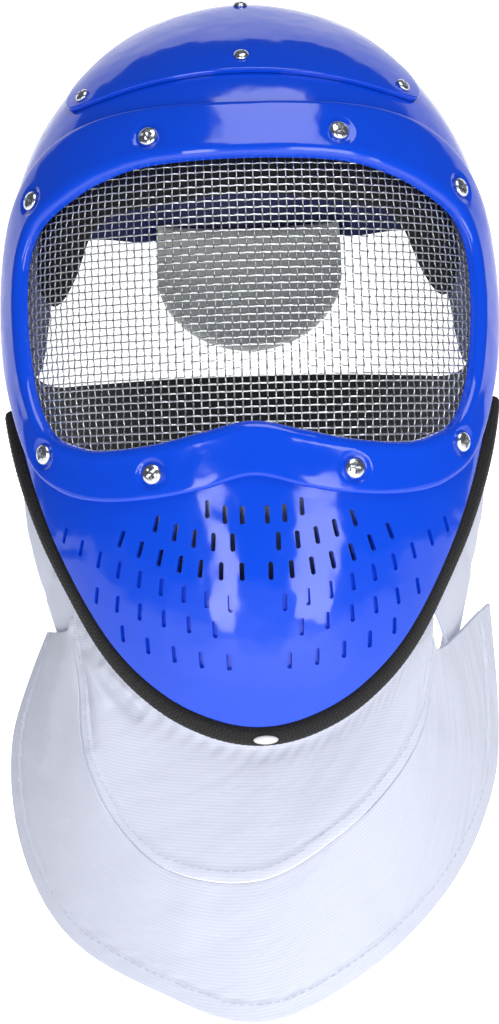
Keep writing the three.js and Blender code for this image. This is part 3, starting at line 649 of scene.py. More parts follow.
# Screws: bright zinc pan heads with a cross recess, a plain shank through the plastic.
PAN_PROFILE = np.array([
    # radius, height above the seat
    (0.0, 2.3), (1.4, 2.26), (2.5, 2.08), (3.3, 1.75), (3.9, 1.25), (4.2, 0.75), (4.3, 0.3), (4.2, 0.0),
    (1.6, 0.0), (1.6, -6.2), (0.0, -6.2),
])


def pan_screw():
    turn = np.radians(np.arange(0, 360, 7.5))
    radius, height = PAN_PROFILE.T
    ring = np.stack([
        radius[None] * np.cos(turn)[:, None],
        radius[None] * np.sin(turn)[:, None],
        np.broadcast_to(height, (len(turn), len(height))),
    ], -1)
    obj = new_object("screw_blank", ring, grid_faces(len(turn), len(height), True))
    face_outward(obj.data, join=WELD)
    blades = []
    for long_x, long_y in ((2.5, 0.55), (0.55, 2.5)):
        x, y = np.array([-1, 1, 1, -1]) * long_x, np.array([-1, -1, 1, 1]) * long_y
        blades.append(np.stack([x, y, np.full(4, 0.7)], -1))
    for blade in blades:
        cut(obj, prisms("blade", [blade], [np.zeros(3)], [np.array((0, 0, 3.0))]))
    obj.data.shade_smooth()
    obj.data.set_sharp_from_angle(angle=math.radians(35))
    return obj


# Bright zinc plate: near-mirror metal, slightly blue, with hairline rubbing from the driver.
zinc_plate, tree = material("bright_zinc_plate")
place = add(tree, "ShaderNodeTexCoord").outputs["Object"]
rubs = add(tree, "ShaderNodeTexNoise", {"Vector": place, "Scale": 1400.0, "Detail": 4.0, "Distortion": 1.5})
worn = add(tree, "ShaderNodeMapRange", {
    "Value": rubs.outputs["Fac"], "From Min": 0.35, "From Max": 0.7, "To Min": 0.14, "To Max": 0.34})
zinc = add(tree, "ShaderNodeBsdfPrincipled", {
    "Base Color": srgb("#DADDE0"), "Metallic": 1.0, "Roughness": worn.outputs["Result"]})
finish_surface(tree, zinc.outputs["BSDF"])

blank = pan_screw()
blank.data.materials.append(zinc_plate)
# Seat of each kind of head off the form, in millimetres, and its size against the blank.
VISOR_HEAD, CROWN_HEAD = (2.0, 1.0), (2.6, 0.75)
SCREW_PLACES = {f"visor_screw_{i + 1}": (*spot, *VISOR_HEAD) for i, spot in enumerate(VISOR_SCREWS)}
SCREW_PLACES |= {f"crown_screw_{side}": (*spot, *CROWN_HEAD) for side, spot in CROWN_SCREWS.items()}
for number, (node, (turn, height, seat, size)) in enumerate(SCREW_PLACES.items()):
    lat = latitude_of(height)
    along, out, up = facing(np.float64(turn), lat, np.float64(37.0 * number))
    screw = bpy.data.objects.new(f"{node}_head", blank.data.copy())
    scene.collection.objects.link(screw)
    spot = on_form(turn, lat, seat) * MM
    axes = np.eye(4)
    axes[:3, :4] = np.stack([size * along, -size * up, size * out, spot], -1)
    screw.data.transform(Matrix(axes.tolist()))
    dress(screw, zinc_plate, "zinc_screw", node)
bpy.data.objects.remove(blank)

# Edge binding: black ribbed webbing folded over the chin edge from ear to ear, its flange behind the shell
# and its face flared out at the ears.
BINDING_END = 75.0
EAR_FLARE = 3.2
EAR_TURNS = (50, 72)
BINDING_COLUMNS, BINDING_ROWS = 900, 41
BINDING_SECTION = np.array([
    # step, beyond the shell's edge, height off the form
    (0, -6, -4.5),
    (1, 0.6, -4.3),
    (2, 0.95, -2.6),
    (3, 2.6, -0.7),
    (4, 5.2, -0.25),
    (5, 8.0, -0.8),
    (6, 9.8, -2.2),
    (7, 10.1, -3.9),
    (8, 9.0, -5.0),
    (9, 2.5, -5.4),
    (10, -6, -5.9),
])


def edge_point(turn):
    return form_point(turn, shell_edge(turn))


def chin_edge(turn, beyond, height):
    """Point past the chin edge: beyond it within the form's surface, and off it by height."""
    turn, beyond, height = np.broadcast_arrays(turn, beyond, height)
    along = unit(edge_point(turn + 0.2) - edge_point(turn - 0.2))
    out = form_normal(turn, shell_edge(turn))
    away = -unit(np.cross(out, along))
    return edge_point(turn) + away * beyond[..., None] + out * height[..., None]


def even_turns(count, end):
    """Turns spaced evenly along the chin edge, and the run of the edge at each, in millimetres."""
    turn = np.linspace(-end, end, 1201)
    line = edge_point(turn)
    run = np.concatenate([[0], np.cumsum(np.linalg.norm(np.diff(line, axis=0), axis=-1))])
    spot = np.linspace(0, run[-1], count)
    return np.interp(spot, run, turn), spot


def binding():
    turn, run = even_turns(BINDING_COLUMNS, BINDING_END)
    section = table_at(BINDING_SECTION, np.linspace(0, BINDING_SECTION[-1, 0], BINDING_ROWS))
    middle = section.mean(axis=0)
    taper = np.clip(np.minimum(run, run[-1] - run) / 2.5, 0, 1)
    taper = np.sqrt(1 - (1 - taper) ** 2)
    shape = middle + (section - middle) * (0.25 + 0.75 * taper)[:, None, None]
    across = np.cumsum(np.r_[0, np.linalg.norm(np.diff(section, axis=0), axis=-1)])
    rib = np.abs(np.sin(np.pi * (run[:, None] + 0.8 * np.abs(across[None] - 11)) / 2.3))
    shape[..., 1] += 0.3 * (rib - 0.6) * (section[None, :, 1] > -3)
    shape[..., 1] += EAR_FLARE * ramp(np.abs(turn), *EAR_TURNS)[:, None] * ramp(section[:, 0], 1.0, 5.0)
    points = chin_edge(turn[:, None], shape[..., 0], shape[..., 1])
    faces = grid_faces(BINDING_COLUMNS, BINDING_ROWS, False, True)
    first = list(range(BINDING_ROWS))
    caps = [first, [corner + (BINDING_COLUMNS - 1) * BINDING_ROWS for corner in reversed(first)]]
    uv = np.stack(np.broadcast_arrays(run[:, None], across[None]), -1)
    return new_object("edge_binding_webbing", points, [*faces.tolist(), *caps], uv)


# Ribbed polyester webbing: matt black yarns in a herringbone, the yarn tops slightly lighter grey.
black_webbing, tree = material("ribbed_polyester_webbing")
cloth = add(tree, "ShaderNodeUVMap", uv_map="cloth").outputs["UV"]
yarn = add(tree, "ShaderNodeTexWave", {
    "Vector": cloth, "Scale": 0.22, "Distortion": 1.2, "Detail": 2.0, "Detail Scale": 2.0}, bands_direction="X")
cross = add(tree, "ShaderNodeTexWave", {
    "Vector": cloth, "Scale": 0.3, "Distortion": 2.0, "Detail": 2.0, "Detail Scale": 2.0}, bands_direction="Y")
fuzz = add(tree, "ShaderNodeTexNoise", {"Vector": cloth, "Scale": 3.0, "Detail": 4.0})
knit = add(tree, "ShaderNodeMath", {0: yarn.outputs["Fac"], 1: cross.outputs["Fac"]}, operation="MULTIPLY")
pile = add(tree, "ShaderNodeMath", {0: knit.outputs[0], 1: fuzz.outputs["Fac"]}, operation="ADD")
tone = add(tree, "ShaderNodeValToRGB", {"Fac": pile.outputs[0]})
tone.color_ramp.elements[0].position = 0.35
tone.color_ramp.elements[0].color = srgb("#070708")
tone.color_ramp.elements[1].position = 1.2
tone.color_ramp.elements[1].color = srgb("#201F1F")
relief = add(tree, "ShaderNodeBump", {"Strength": 0.8, "Distance": 0.0004, "Height": pile.outputs[0]})
webbing = add(tree, "ShaderNodeBsdfPrincipled", {
    "Base Color": tone.outputs["Color"], "Roughness": 0.85, "Sheen Weight": 0.06, "Sheen Roughness": 0.5,
    "Normal": relief.outputs["Normal"]})
finish_surface(tree, webbing.outputs["BSDF"])

strip = binding()
dress(strip, black_webbing, "black_webbing", "edge_binding")

# Rivet: a plain pale oval stud pressed into the middle of the webbing.
pale_stud, tree = material("pale_enamelled_stud")
place = add(tree, "ShaderNodeTexCoord").outputs["Object"]
speck = add(tree, "ShaderNodeTexNoise", {"Vector": place, "Scale": 700.0, "Detail": 3.0})
satin = add(tree, "ShaderNodeMapRange", {
    "Value": speck.outputs["Fac"], "From Min": 0.3, "From Max": 0.7, "To Min": 0.3, "To Max": 0.45})
stud = add(tree, "ShaderNodeBsdfPrincipled", {
    "Base Color": srgb("#DCDCDA"), "Roughness": satin.outputs["Result"], "IOR": 1.5})
finish_surface(tree, stud.outputs["BSDF"])

STUD_HALF_WIDTH, STUD_HALF_DEPTH, STUD_RISE = 5.1, 2.0, 1.3
STUD_TURN, STUD_BEYOND, STUD_SEAT = 1.2, 5.6, -0.2
STUD_PROFILE = np.array([
    # share of the half width, share of the rise
    (0.0, 1.0), (0.4, 0.97), (0.7, 0.86), (0.88, 0.66), (0.97, 0.4), (1.0, 0.15), (0.97, 0.0), (0.0, 0.0),
])


def oval_stud():
    around = np.radians(np.arange(0, 360, 7.5))
    share, rise = STUD_PROFILE.T
    x = STUD_HALF_WIDTH * np.cos(around)[:, None] * share
    z = STUD_HALF_DEPTH * np.sin(around)[:, None] * share
    out = form_normal(STUD_TURN, shell_edge(STUD_TURN))
    up = unit(np.cross((1.0, 0, 0), out))
    along = np.cross(out, up)
    centre = chin_edge(STUD_TURN, STUD_BEYOND, STUD_SEAT)
    points = centre + x[..., None] * along + z[..., None] * up + (STUD_RISE * rise)[None, :, None] * out
    obj = new_object("binding_rivet_stud", points, grid_faces(len(around), len(share), True)[:, ::-1])
    face_outward(obj.data, join=WELD)
    return obj


dress(oval_stud(), pale_stud, "pale_stud", "binding_rivet")

# Bib: white cotton hung from behind the webbing, a throat panel sewn to a broad apron along a curved seam,
# and a side cloth from each ear that runs down behind the apron's end.
CLOTH_WALL = 1.8
BIB_TUCK, BIB_EXIT = (-3, -7.2), (12.5, -7.4)
BIB_TOP_SEAT = -4.4
BIB_TOP = np.array([
    # turn, height of the cloth's upper end inside the chin guard
    (0, -213),
    (34, -215),
    (53, -232),
])
BIB_FOLDS = np.array([
    # turn, seam x y z, hem x y z
    (-53, -78.8, -72, -267, -91, -40, -271),
    (-46, -76, -75, -295, -108, -36, -316),
    (-38, -73, -80, -320, -105, -48, -360),
    (-28, -61, -88, -347, -85, -70, -395),
    (-16, -39, -98, -366, -48, -93, -415),
    (0, -2, -104, -370, -3, -107, -427),
    (16, 32, -101, -352, 42, -97, -408),
    (28, 53, -93, -333, 76, -74, -380),
    (38, 66, -84, -314, 96, -52, -347),
    (45, 70.5, -78, -299, 102, -40, -315),
    (50, 73, -75, -280, 100, -35, -264),
])
LEFT_SIDE_FOLDS = np.array([
    # order, turn, under the throat, middle x y z, rear x y z
    (0, -54, 2.6, -80.5, -48, -288, -78, -12, -298),
    (1, -65, 0, -96, -38, -238, -92, -4, -242),
    (2, -74, 0, -101.5, -32, -196, -98, 4, -197),
])
RIGHT_SIDE_FOLDS = np.array([
    # order, turn, under the throat, middle x y z, rear x y z
    (0, 51, 2.6, 82, -48, -288, 78, -12, -296),
    (1, 64, 0, 94.5, -38, -238, 91, -4, -242),
    (2, 74, 0, 101.5, -32, -196, 98, 4, -197),
])


def hang(turn, under, above, below, t):
    """Points t along each fold, through knots above, the tuck behind the webbing, its exit and knots below."""
    edge = [chin_edge(turn, beyond, height - under) for beyond, height in (BIB_TUCK, BIB_EXIT)]
    knots = np.stack([*above, *edge, *below])
    spans = len(knots) - 1
    knots = np.concatenate([2 * knots[:1] - knots[1:2], knots, 2 * knots[-1:] - knots[-2:-1]])
    place = np.clip(t, 0, 1) * spans
    piece = np.minimum(place.astype(int), spans - 1)
    width = np.linalg.norm(np.diff(knots, axis=0), axis=-1) ** 0.5
    line = np.empty((len(t), len(turn), 3))
    for row, (k, u) in enumerate(zip(piece, place - piece)):
        p0, p1, p2, p3 = knots[k:k + 4]
        d0, d1, d2 = (width[k + n][:, None] for n in range(3))
        lead = ((p1 - p0) / d0 - (p2 - p0) / (d0 + d1) + (p2 - p1) / d1) * d1
        trail = ((p2 - p1) / d1 - (p3 - p1) / (d1 + d2) + (p3 - p2) / d2) * d1
        square, cubic = 3 * (p2 - p1) - 2 * lead - trail, 2 * (p1 - p2) + lead + trail
        line[row] = p1 + u * (lead + u * (square + u * cubic))
    return line.transpose(1, 0, 2)


def cloth_normals(grid):
    across = np.gradient(grid, axis=0)
    down = np.gradient(grid, axis=1)
    return unit(np.cross(down, across))


SOFT_FOLDS = np.array([
    # from x z, to x z, half width, rise
    (-77, -272, -70, -318, 3.4, -2.4),
    (-75, -274, -62, -300, 2.6, 1.8),
    (-73, -276, -50, -306, 3.0, -2.2),
    (-71, -280, -44, -302, 2.8, 1.5),
    (-84, -280, -92, -330, 5.0, 1.2),
    (-74, -300, -66, -345, 4.0, 0.9),
    (72, -285, 66, -330, 4.0, -0.8),
    (80, -290, 88, -330, 5.0, 0.9),
    (0, -322, 4, -352, 9.0, 0.8),
    (-30, -372, -38, -410, 8.0, 0.8),
    (40, -362, 52, -396, 8.0, -0.8),
])


def creased(grid, normals, folds):
    """The grid with soft ridges (+) and hollows (-) laid along lines given in the front view."""
    lift = np.zeros(grid.shape[:2])
    x, z = grid[..., 0], grid[..., 2]
    for ax, az, bx, bz, width, rise in folds:
        length = (bx - ax) ** 2 + (bz - az) ** 2
        along = np.clip(((x - ax) * (bx - ax) + (z - az) * (bz - az)) / length, 0, 1)
        away = np.hypot(x - ax - along * (bx - ax), z - az - along * (bz - az))
        fading = np.sin(np.pi * np.clip(0.12 + along * 0.88, 0, 1)) ** 0.5
        lift += rise * np.exp(-(away / width) ** 2) * fading
    return grid + lift[..., None] * normals


def run_of(grid, axis):
    """Distance along the rows or columns of a grid, in millimetres."""
    step = np.linalg.norm(np.diff(grid, axis=axis), axis=-1)
    lead = [(0, 0), (0, 0)]
    lead[axis] = (1, 0)
    return np.pad(np.cumsum(step, axis=axis), lead)


SEAM_AT = 3 / 4
HEM_WIDTH, LAP_WIDTH = 9.0, 6.0
bib_turn = np.linspace(-53, 50, 241)
fold = table_at(BIB_FOLDS, bib_turn)
bib_seam, bib_hem = fold[:, 0:3], fold[:, 3:6]
bib_top_lat = latitude_of(table_at(BIB_TOP, np.abs(bib_turn))[:, 0])
bib_top = on_form(bib_turn, bib_top_lat, np.full(len(bib_turn), BIB_TOP_SEAT))


def bib_panel(start, stop, rows, lap_side):
    """A panel of the bib between two places along its folds; its sewn edge is doubled on lap_side."""
    t = np.linspace(start, stop, rows)
    grid = hang(bib_turn, 0, [bib_top], [bib_seam, bib_hem], t)
    normals = cloth_normals(grid)
    grid = creased(grid, normals, SOFT_FOLDS)
    down, along = run_of(grid, 1), run_of(grid, 0)
    to_end = down[:, -1:] - down
    if lap_side == "throat":
        swell = 0.45 * np.clip((LAP_WIDTH - to_end) / 1.2, 0, 1)
        swell -= 0.3 * np.exp(-((to_end - LAP_WIDTH) / 0.8) ** 2)
        out_of_edge = down - np.array([np.interp(0.5, t, run) for run in down])[:, None]
        roll = 1.3 * np.exp(-((out_of_edge + 0.5) / 1.5) ** 2)
        pucker = 0.25 * np.sin(along / 1.1) * np.exp(-((out_of_edge - 3) / 5.0) ** 2)
        lift = swell + roll + pucker
    else:
        lift = 0.35 * np.clip((HEM_WIDTH - to_end) / 1.2, 0, 1)
        lift -= 0.25 * np.exp(-((to_end - HEM_WIDTH) / 0.9) ** 2)
        lift += 0.2 * np.sin(along / 1.9) * np.exp(-((to_end - HEM_WIDTH) / 3.0) ** 2)
    grid = grid + lift[..., None] * normals
    uv = np.stack([along, down], -1)
    return grid, normals, uv


def cloth_wall(name, grid, normals, uv):
    half = np.full((grid.shape[1], 1), CLOTH_WALL / 2)
    half[[0, -1]] *= 0.45
    return wall(name, grid + normals * half, grid - normals * half, uv=uv)


# White cotton twill: cool white, fine cross ribs with a slub here and there, softly fuzzy at glancing light.
white_cotton, tree = material("white_cotton_twill")
cloth = add(tree, "ShaderNodeUVMap", uv_map="cloth").outputs["UV"]
weft = add(tree, "ShaderNodeTexWave", {
    "Vector": cloth, "Scale": 0.23, "Distortion": 0.6, "Detail": 2.0, "Detail Scale": 1.0}, bands_direction="Y")
warp = add(tree, "ShaderNodeTexWave", {
    "Vector": cloth, "Scale": 0.5, "Distortion": 0.8, "Detail": 2.0, "Detail Scale": 1.0}, bands_direction="X")
slub_map = add(tree, "ShaderNodeMapping", {"Vector": cloth, "Scale": (0.03, 0.6, 1.0)})
slub = add(tree, "ShaderNodeTexNoise", {"Vector": slub_map.outputs[0], "Scale": 1.0, "Detail": 4.0})
weave = add(tree, "ShaderNodeMath", {0: weft.outputs["Fac"], 1: warp.outputs["Fac"]}, operation="MULTIPLY")
yarns = add(tree, "ShaderNodeMath", {
    0: slub.outputs["Fac"], 1: 0.3, 2: weave.outputs[0]}, operation="MULTIPLY_ADD")
rumple = add(tree, "ShaderNodeTexNoise", {"Vector": cloth, "Scale": 0.045, "Detail": 3.0, "Roughness": 0.45})
dented = add(tree, "ShaderNodeBump", {"Strength": 0.35, "Distance": 0.004, "Height": rumple.outputs["Fac"]})
ribs = add(tree, "ShaderNodeBump", {
    "Strength": 0.2, "Distance": 0.0003, "Height": yarns.outputs[0], "Normal": dented.outputs["Normal"]})
shade = add(tree, "ShaderNodeValToRGB", {"Fac": yarns.outputs[0]})
shade.color_ramp.elements[0].position = 0.0
shade.color_ramp.elements[0].color = srgb("#C7CBDD")
shade.color_ramp.elements[1].position = 1.0
shade.color_ramp.elements[1].color = srgb("#DCDFEA")
cotton = add(tree, "ShaderNodeBsdfPrincipled", {
    "Base Color": shade.outputs["Color"], "Roughness": 0.9, "Sheen Weight": 0.2, "Sheen Roughness": 0.5,
    "Normal": ribs.outputs["Normal"]})
finish_surface(tree, cotton.outputs["BSDF"])


def stitches(name, line, out, length=2.4, gap=1.2, radius=0.2):
    """Short threads lying along a sewn line of points."""
    run = np.concatenate([[0], np.cumsum(np.linalg.norm(np.diff(line, axis=0), axis=-1))])
    starts = np.arange(1.0, run[-1] - length, length + gap)
    arch = np.array([-0.25, 0.12, 0.2, 0.2, 0.12, -0.25])
    paths = []
    for start in starts:
        spot = start + length * np.linspace(0, 1, 6)
        point = np.stack([np.interp(spot, run, line[:, k]) for k in range(3)], -1)
        lift = unit(np.stack([np.interp(spot, run, out[:, k]) for k in range(3)], -1))
        paths.append((point + lift * arch[:, None], lift))
    points, faces = wire_tubes(paths, radius, 5)
    return new_object(name, points, faces)


throat_grid, throat_normals, throat_uv = bib_panel(0.0, SEAM_AT - 0.001, 130, "throat")
apron_grid, apron_normals, apron_uv = bib_panel(SEAM_AT + 0.001, 1.0, 80, "apron")
throat = cloth_wall("bib_throat_cloth", throat_grid, throat_normals, throat_uv)
apron = cloth_wall("bib_apron_cloth", apron_grid, apron_normals, apron_uv)


def sewn_line(grid, normals, from_end):
    """Points and normals of a line of stitching, from_end millimetres above the panel's lower edge."""
    down = run_of(grid, 1)
    row = np.abs(down[:, -1:] - down - from_end).argmin(axis=1)
    pick = (np.arange(len(grid)), row)
    return grid[pick] + normals[pick] * (CLOTH_WALL / 2), normals[pick]


# Cotton sewing thread, the same white as the cloth with a slight lustre.
white_thread, tree = material("white_sewing_thread")
place = add(tree, "ShaderNodeTexCoord").outputs["Object"]
ply = add(tree, "ShaderNodeTexNoise", {"Vector": place, "Scale": 2500.0, "Detail": 2.0})
twist = add(tree, "ShaderNodeBump", {"Strength": 0.4, "Distance": 0.0001, "Height": ply.outputs["Fac"]})
thread = add(tree, "ShaderNodeBsdfPrincipled", {
    "Base Color": srgb("#CDD0DE"), "Roughness": 0.6, "Normal": twist.outputs["Normal"]})
finish_surface(tree, thread.outputs["BSDF"])

seam_thread = stitches("bib_seam_stitching", *sewn_line(throat_grid, throat_normals, LAP_WIDTH - 1.8))
hem_thread = stitches("bib_hem_stitching", *sewn_line(apron_grid, apron_normals, HEM_WIDTH - 1.8))
dress(throat, white_cotton, "white_cotton", "bib_throat")
dress(apron, white_cotton, "white_cotton", "bib_apron")
for threads in (seam_thread, hem_thread):
    threads.data.materials.append(white_thread)
    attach(threads, "root")


SIDE_CREASES = np.array([
    # from x z, to x z, half width, rise
    (-84, -238, -92, -256, 2.6, -1.1),
    (-82, -246, -90, -246, 2.2, 0.8),
    (-93, -205, -97, -232, 3.5, 0.8),
    (86, -230, 93, -250, 2.6, -1.0),
    (93, -205, 97, -230, 3.5, 0.8),
])


def side_cloth(name, folds, node):
    row = table_at(folds, np.linspace(0, 2, 60))
    turn, under = row[:, 0], row[:, 1]
    grid = hang(turn, under, [], [row[:, 2:5], row[:, 5:8]], np.linspace(0, 1, 70))
    normals = cloth_normals(grid)
    if (normals[:, :, 0] * grid[:, :, 0]).mean() < 0:
        normals = -normals
    grid = creased(grid, normals, SIDE_CREASES)
    down, along = run_of(grid, 1), run_of(grid, 0)
    obj = cloth_wall(name, grid, normals, np.stack([down, along], -1))
    dress(obj, white_cotton, "white_cotton", node)


side_cloth("bib_side_left_cloth", LEFT_SIDE_FOLDS, "bib_side_left")
side_cloth("bib_side_right_cloth", RIGHT_SIDE_FOLDS, "bib_side_right")

# Brow pad: a soft black foam band from temple to temple behind the top of the visor, its edges rounded over.
BROW_PAD_EDGES = np.array([
    # turn, top, bottom
    (0, -48, -88),
    (35, -56, -93),
    (43, -62, -101),
    (50, -70, -122),
    (58, -82, -131),
    (68, -94, -124),
])
PAD_FACE, PAD_WALL = -5.8, 10.0
PAD_END = BROW_PAD_EDGES[-1, 0]


def pillow(share, power=2.6):
    """How full a pad is across a share from 0 to 1: round at both edges, level between."""
    return np.clip(1 - np.abs(2 * share - 1) ** power, 0, 1) ** 0.5


def brow_band():
    turn = np.linspace(-PAD_END, PAD_END, 161)
    top, bottom = table_at(BROW_PAD_EDGES, np.abs(turn)).T
    share = (1 - np.cos(np.pi * np.linspace(0, 1, 33))) / 2
    lat = latitude_of(top[:, None] + (bottom - top)[:, None] * share)
    full = pillow(share)[None] * pillow((turn[:, None] / PAD_END + 1) / 2, 14)
    middle = PAD_FACE - PAD_WALL / 2
    outer = on_form(turn[:, None], lat, middle + PAD_WALL / 2 * full)
    uneven = 1 + 0.05 * np.sin(turn / 3.0)[:, None]
    inner = on_form(turn[:, None], lat, middle - PAD_WALL / 2 * full * uneven)
    return wall("brow_pad_foam", outer, inner, sharp=80)


# Closed-cell foam: dead black with fine open pores on the skin.
black_foam, tree = material("black_closed_cell_foam")
place = add(tree, "ShaderNodeTexCoord").outputs["Object"]
pores = add(tree, "ShaderNodeTexVoronoi", {"Vector": place, "Scale": 900.0})
pitted = add(tree, "ShaderNodeBump", {"Strength": 0.5, "Distance": 0.0004, "Height": pores.outputs["Distance"]})
foam = add(tree, "ShaderNodeBsdfPrincipled", {
    "Base Color": srgb("#1B1B1D"), "Roughness": 0.95, "Normal": pitted.outputs["Normal"]})
finish_surface(tree, foam.outputs["BSDF"])

pad = brow_band()
dress(pad, black_foam, "black_foam", "brow_pad")

# Tongue: a grey cloth-covered pad that hangs inside the nape and ends in a half round.
TONGUE_HALF_TURN, TONGUE_TOP, TONGUE_SHOULDER, TONGUE_BOTTOM = 29, -78, -106, -143
TONGUE_SEAT, TONGUE_LEAN, TONGUE_WALL = 7.5, 10.0, 6.0


def nape_tongue():
    side = -np.cos(np.pi * np.linspace(0, 1, 81))
    bottom = TONGUE_SHOULDER + (TONGUE_BOTTOM - TONGUE_SHOULDER) * np.sqrt(np.maximum(0, 1 - side ** 2))
    share = np.linspace(0, 1, 81)
    z = TONGUE_TOP + (bottom - TONGUE_TOP)[:, None] * share
    sag = np.maximum(0, (TONGUE_TOP - z) / (TONGUE_TOP - TONGUE_BOTTOM))
    turn = 180 + TONGUE_HALF_TURN * side[:, None]
    middle = on_form(turn, latitude_of(z), -TONGUE_SEAT - TONGUE_LEAN * sag ** 2)
    normals = cloth_normals(middle)
    full = np.maximum(0.12, pillow((side[:, None] + 1) / 2, 5) * pillow(share[None], 9))
    channel = 1 - 0.35 * np.exp(-((side[:, None] / 0.04) ** 2)) * (share[None] > 0.1)
    half = TONGUE_WALL / 2 * full * channel
    down, along = run_of(middle, 1), run_of(middle, 0)
    return wall("tongue_pad", middle + normals * half[..., None], middle - normals * half[..., None],
                uv=np.stack([along, down], -1), sharp=80)


# Grey polyester lining cloth: a plain weave over soft padding.
grey_cloth, tree = material("grey_lining_cloth")
cloth = add(tree, "ShaderNodeUVMap", uv_map="cloth").outputs["UV"]
over = add(tree, "ShaderNodeTexWave", {"Vector": cloth, "Scale": 0.3, "Distortion": 0.8}, bands_direction="X")
under = add(tree, "ShaderNodeTexWave", {"Vector": cloth, "Scale": 0.3, "Distortion": 0.8}, bands_direction="Y")
plain = add(tree, "ShaderNodeMath", {0: over.outputs["Fac"], 1: under.outputs["Fac"]}, operation="MULTIPLY")
woven = add(tree, "ShaderNodeBump", {"Strength": 0.5, "Distance": 0.0003, "Height": plain.outputs[0]})
lining = add(tree, "ShaderNodeBsdfPrincipled", {
    "Base Color": srgb("#C6CAC2"), "Roughness": 0.85, "Sheen Weight": 0.2, "Normal": woven.outputs["Normal"]})
finish_surface(tree, lining.outputs["BSDF"])

tongue = nape_tongue()
dress(tongue, grey_cloth, "grey_cloth", "tongue")

# Back strap: a broad woven black elastic, its ends fixed inside the shell behind each ear.
STRAP_LINE = np.array([
    # place, x, y, z, height
    (0, 0, 101, -178.4, 50),
    (1, 28, 96, -178.9, 50),
    (2, 56, 79, -179.7, 48),
    (3, 78, 50, -181.5, 46),
    (4, 91.5, 20, -181, 41),
    (5, 98, -12, -174, 35),
    (6, 100.8, -43, -162, 30),
])
STRAP_WALL, STRAP_CORD = 2.0, 0.16


def elastic_strap():
    end = STRAP_LINE[-1, 0]
    place = np.linspace(-end, end, 241)[:, None]
    x, y, z, height = np.moveaxis(table_at(STRAP_LINE, np.abs(place)), -1, 0)
    share = np.linspace(0.5, -0.5, 41)
    middle = np.stack(np.broadcast_arrays(np.sign(place) * x, y, z + height * share), -1)
    normals = cloth_normals(middle)
    down, along = run_of(middle, 1), run_of(middle, 0)
    cords = STRAP_CORD * (np.abs(np.sin(np.pi * down / 2.5)) - 1)
    thick = (STRAP_WALL / 2 + cords) * np.where(np.abs(share) > 0.49, 0.5, 1.0)
    half = normals * thick[..., None]
    uv = np.stack([along, down], -1)
    return wall("back_strap_elastic", middle + half, middle - half, uv=uv, sharp=80)


# Woven elastic: black rubber cords under a tight weft that shows as fine ladder ribs.
black_elastic, tree = material("black_woven_elastic")
cloth = add(tree, "ShaderNodeUVMap", uv_map="cloth").outputs["UV"]
ladder = add(tree, "ShaderNodeTexWave", {"Vector": cloth, "Scale": 0.3, "Distortion": 0.5}, bands_direction="X")
ribbed = add(tree, "ShaderNodeBump", {"Strength": 0.6, "Distance": 0.0003, "Height": ladder.outputs["Fac"]})
elastic = add(tree, "ShaderNodeBsdfPrincipled", {
    "Base Color": srgb("#161617"), "Roughness": 0.8, "Sheen Weight": 0.2, "Normal": ribbed.outputs["Normal"]})
finish_surface(tree, elastic.outputs["BSDF"])

strap = elastic_strap()
dress(strap, black_elastic, "black_elastic", "back_strap")
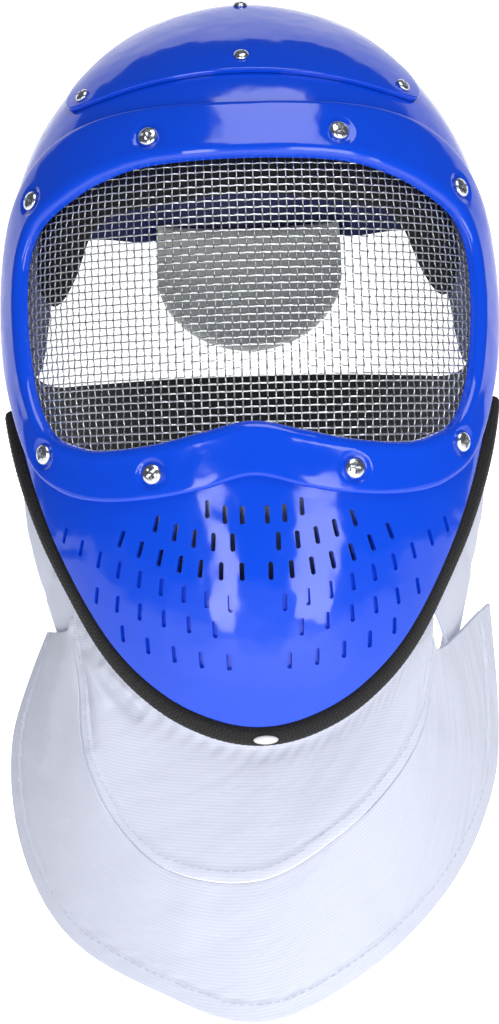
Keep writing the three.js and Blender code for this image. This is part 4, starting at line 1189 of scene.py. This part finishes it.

# Studio: a pale sweep under and behind the mask that glows as painted light, bright at the back and dimmed to
# painted shade at the front, a large soft light above the forehead, a narrow window light on each side of the
# chin and a weak bounce from the floor.
white_sweep, tree = material("white_paper_sweep")
place = add(tree, "ShaderNodeTexCoord").outputs["Object"]
fibre = add(tree, "ShaderNodeTexNoise", {"Vector": place, "Scale": 60.0, "Detail": 3.0})
depth = add(tree, "ShaderNodeSeparateXYZ", {"Vector": place}).outputs["Y"]
# The sweep glows by its own emission: painted light, strong at the back and dimmed to painted shade at the
# front.
painted_glow = add(tree, "ShaderNodeMapRange", {
    "Value": depth, "From Min": -1.1, "From Max": -0.8, "To Min": 0.05, "To Max": 0.8})
paper_bump = add(tree, "ShaderNodeBump", {"Strength": 0.05, "Distance": 0.0005, "Height": fibre.outputs["Fac"]})
paper = add(tree, "ShaderNodeBsdfPrincipled", {
    "Base Color": srgb("#FBFBFC"), "Roughness": 0.95, "Normal": paper_bump.outputs["Normal"],
    "Emission Color": srgb("#FFFFFF"), "Emission Strength": painted_glow.outputs["Result"]})
finish_surface(tree, paper.outputs["BSDF"])

SWEEP_FLOOR, SWEEP_BACK, SWEEP_BEND, SWEEP_HALF, SWEEP_TOP = -780.0, 2400.0, 270.0, 4200.0, 4000.0
bend = np.radians(np.linspace(0, 90, 13))
sweep_y = np.r_[-SWEEP_BACK, SWEEP_BACK - SWEEP_BEND + SWEEP_BEND * np.sin(bend), SWEEP_BACK]
sweep_z = np.r_[SWEEP_FLOOR, SWEEP_FLOOR + SWEEP_BEND * (1 - np.cos(bend)), SWEEP_TOP]
sweep_points = np.stack([
    np.stack([np.full(len(sweep_y), side), sweep_y, sweep_z], -1) for side in (-SWEEP_HALF, SWEEP_HALF)])
sweep = new_object("studio_sweep", sweep_points, grid_faces(2, len(sweep_y)))
sweep.data.materials.append(white_sweep)


def soft_light(name, place, aim, width, height, watts):
    """Rectangular softbox at a place, facing a point."""
    data = bpy.data.lights.new(name, "AREA")
    data.shape = "RECTANGLE"
    data.size, data.size_y = width, height
    data.energy = watts
    lamp = bpy.data.objects.new(name, data)
    scene.collection.objects.link(lamp)
    toward = Matrix.Translation(place).to_translation() - Matrix.Translation(aim).to_translation()
    lamp.matrix_world = Matrix.Translation(place) @ toward.to_track_quat("Z", "Y").to_matrix().to_4x4()


soft_light("key_over_forehead", (0.16, -0.75, 0.95), (0, -0.05, -0.12), 0.75, 0.95, 9)
soft_light("left_window", (-0.25, -0.97, -0.4), (0, -0.05, -0.25), 0.16, 0.6, 2.0)
soft_light("right_window", (0.41, -0.94, -0.4), (0, -0.05, -0.25), 0.34, 0.6, 3.6)
soft_light("floor_bounce", (0.0, -0.55, -0.75), (0, -0.05, -0.25), 1.3, 0.8, 0.6)

studio = bpy.data.worlds.new("studio")
scene.world = studio
studio.use_nodes = True
studio.node_tree.nodes["Background"].inputs["Color"].default_value = srgb("#8A8F9C")
studio.node_tree.nodes["Background"].inputs["Strength"].default_value = 0.35
scene.view_settings.view_transform = "Standard"
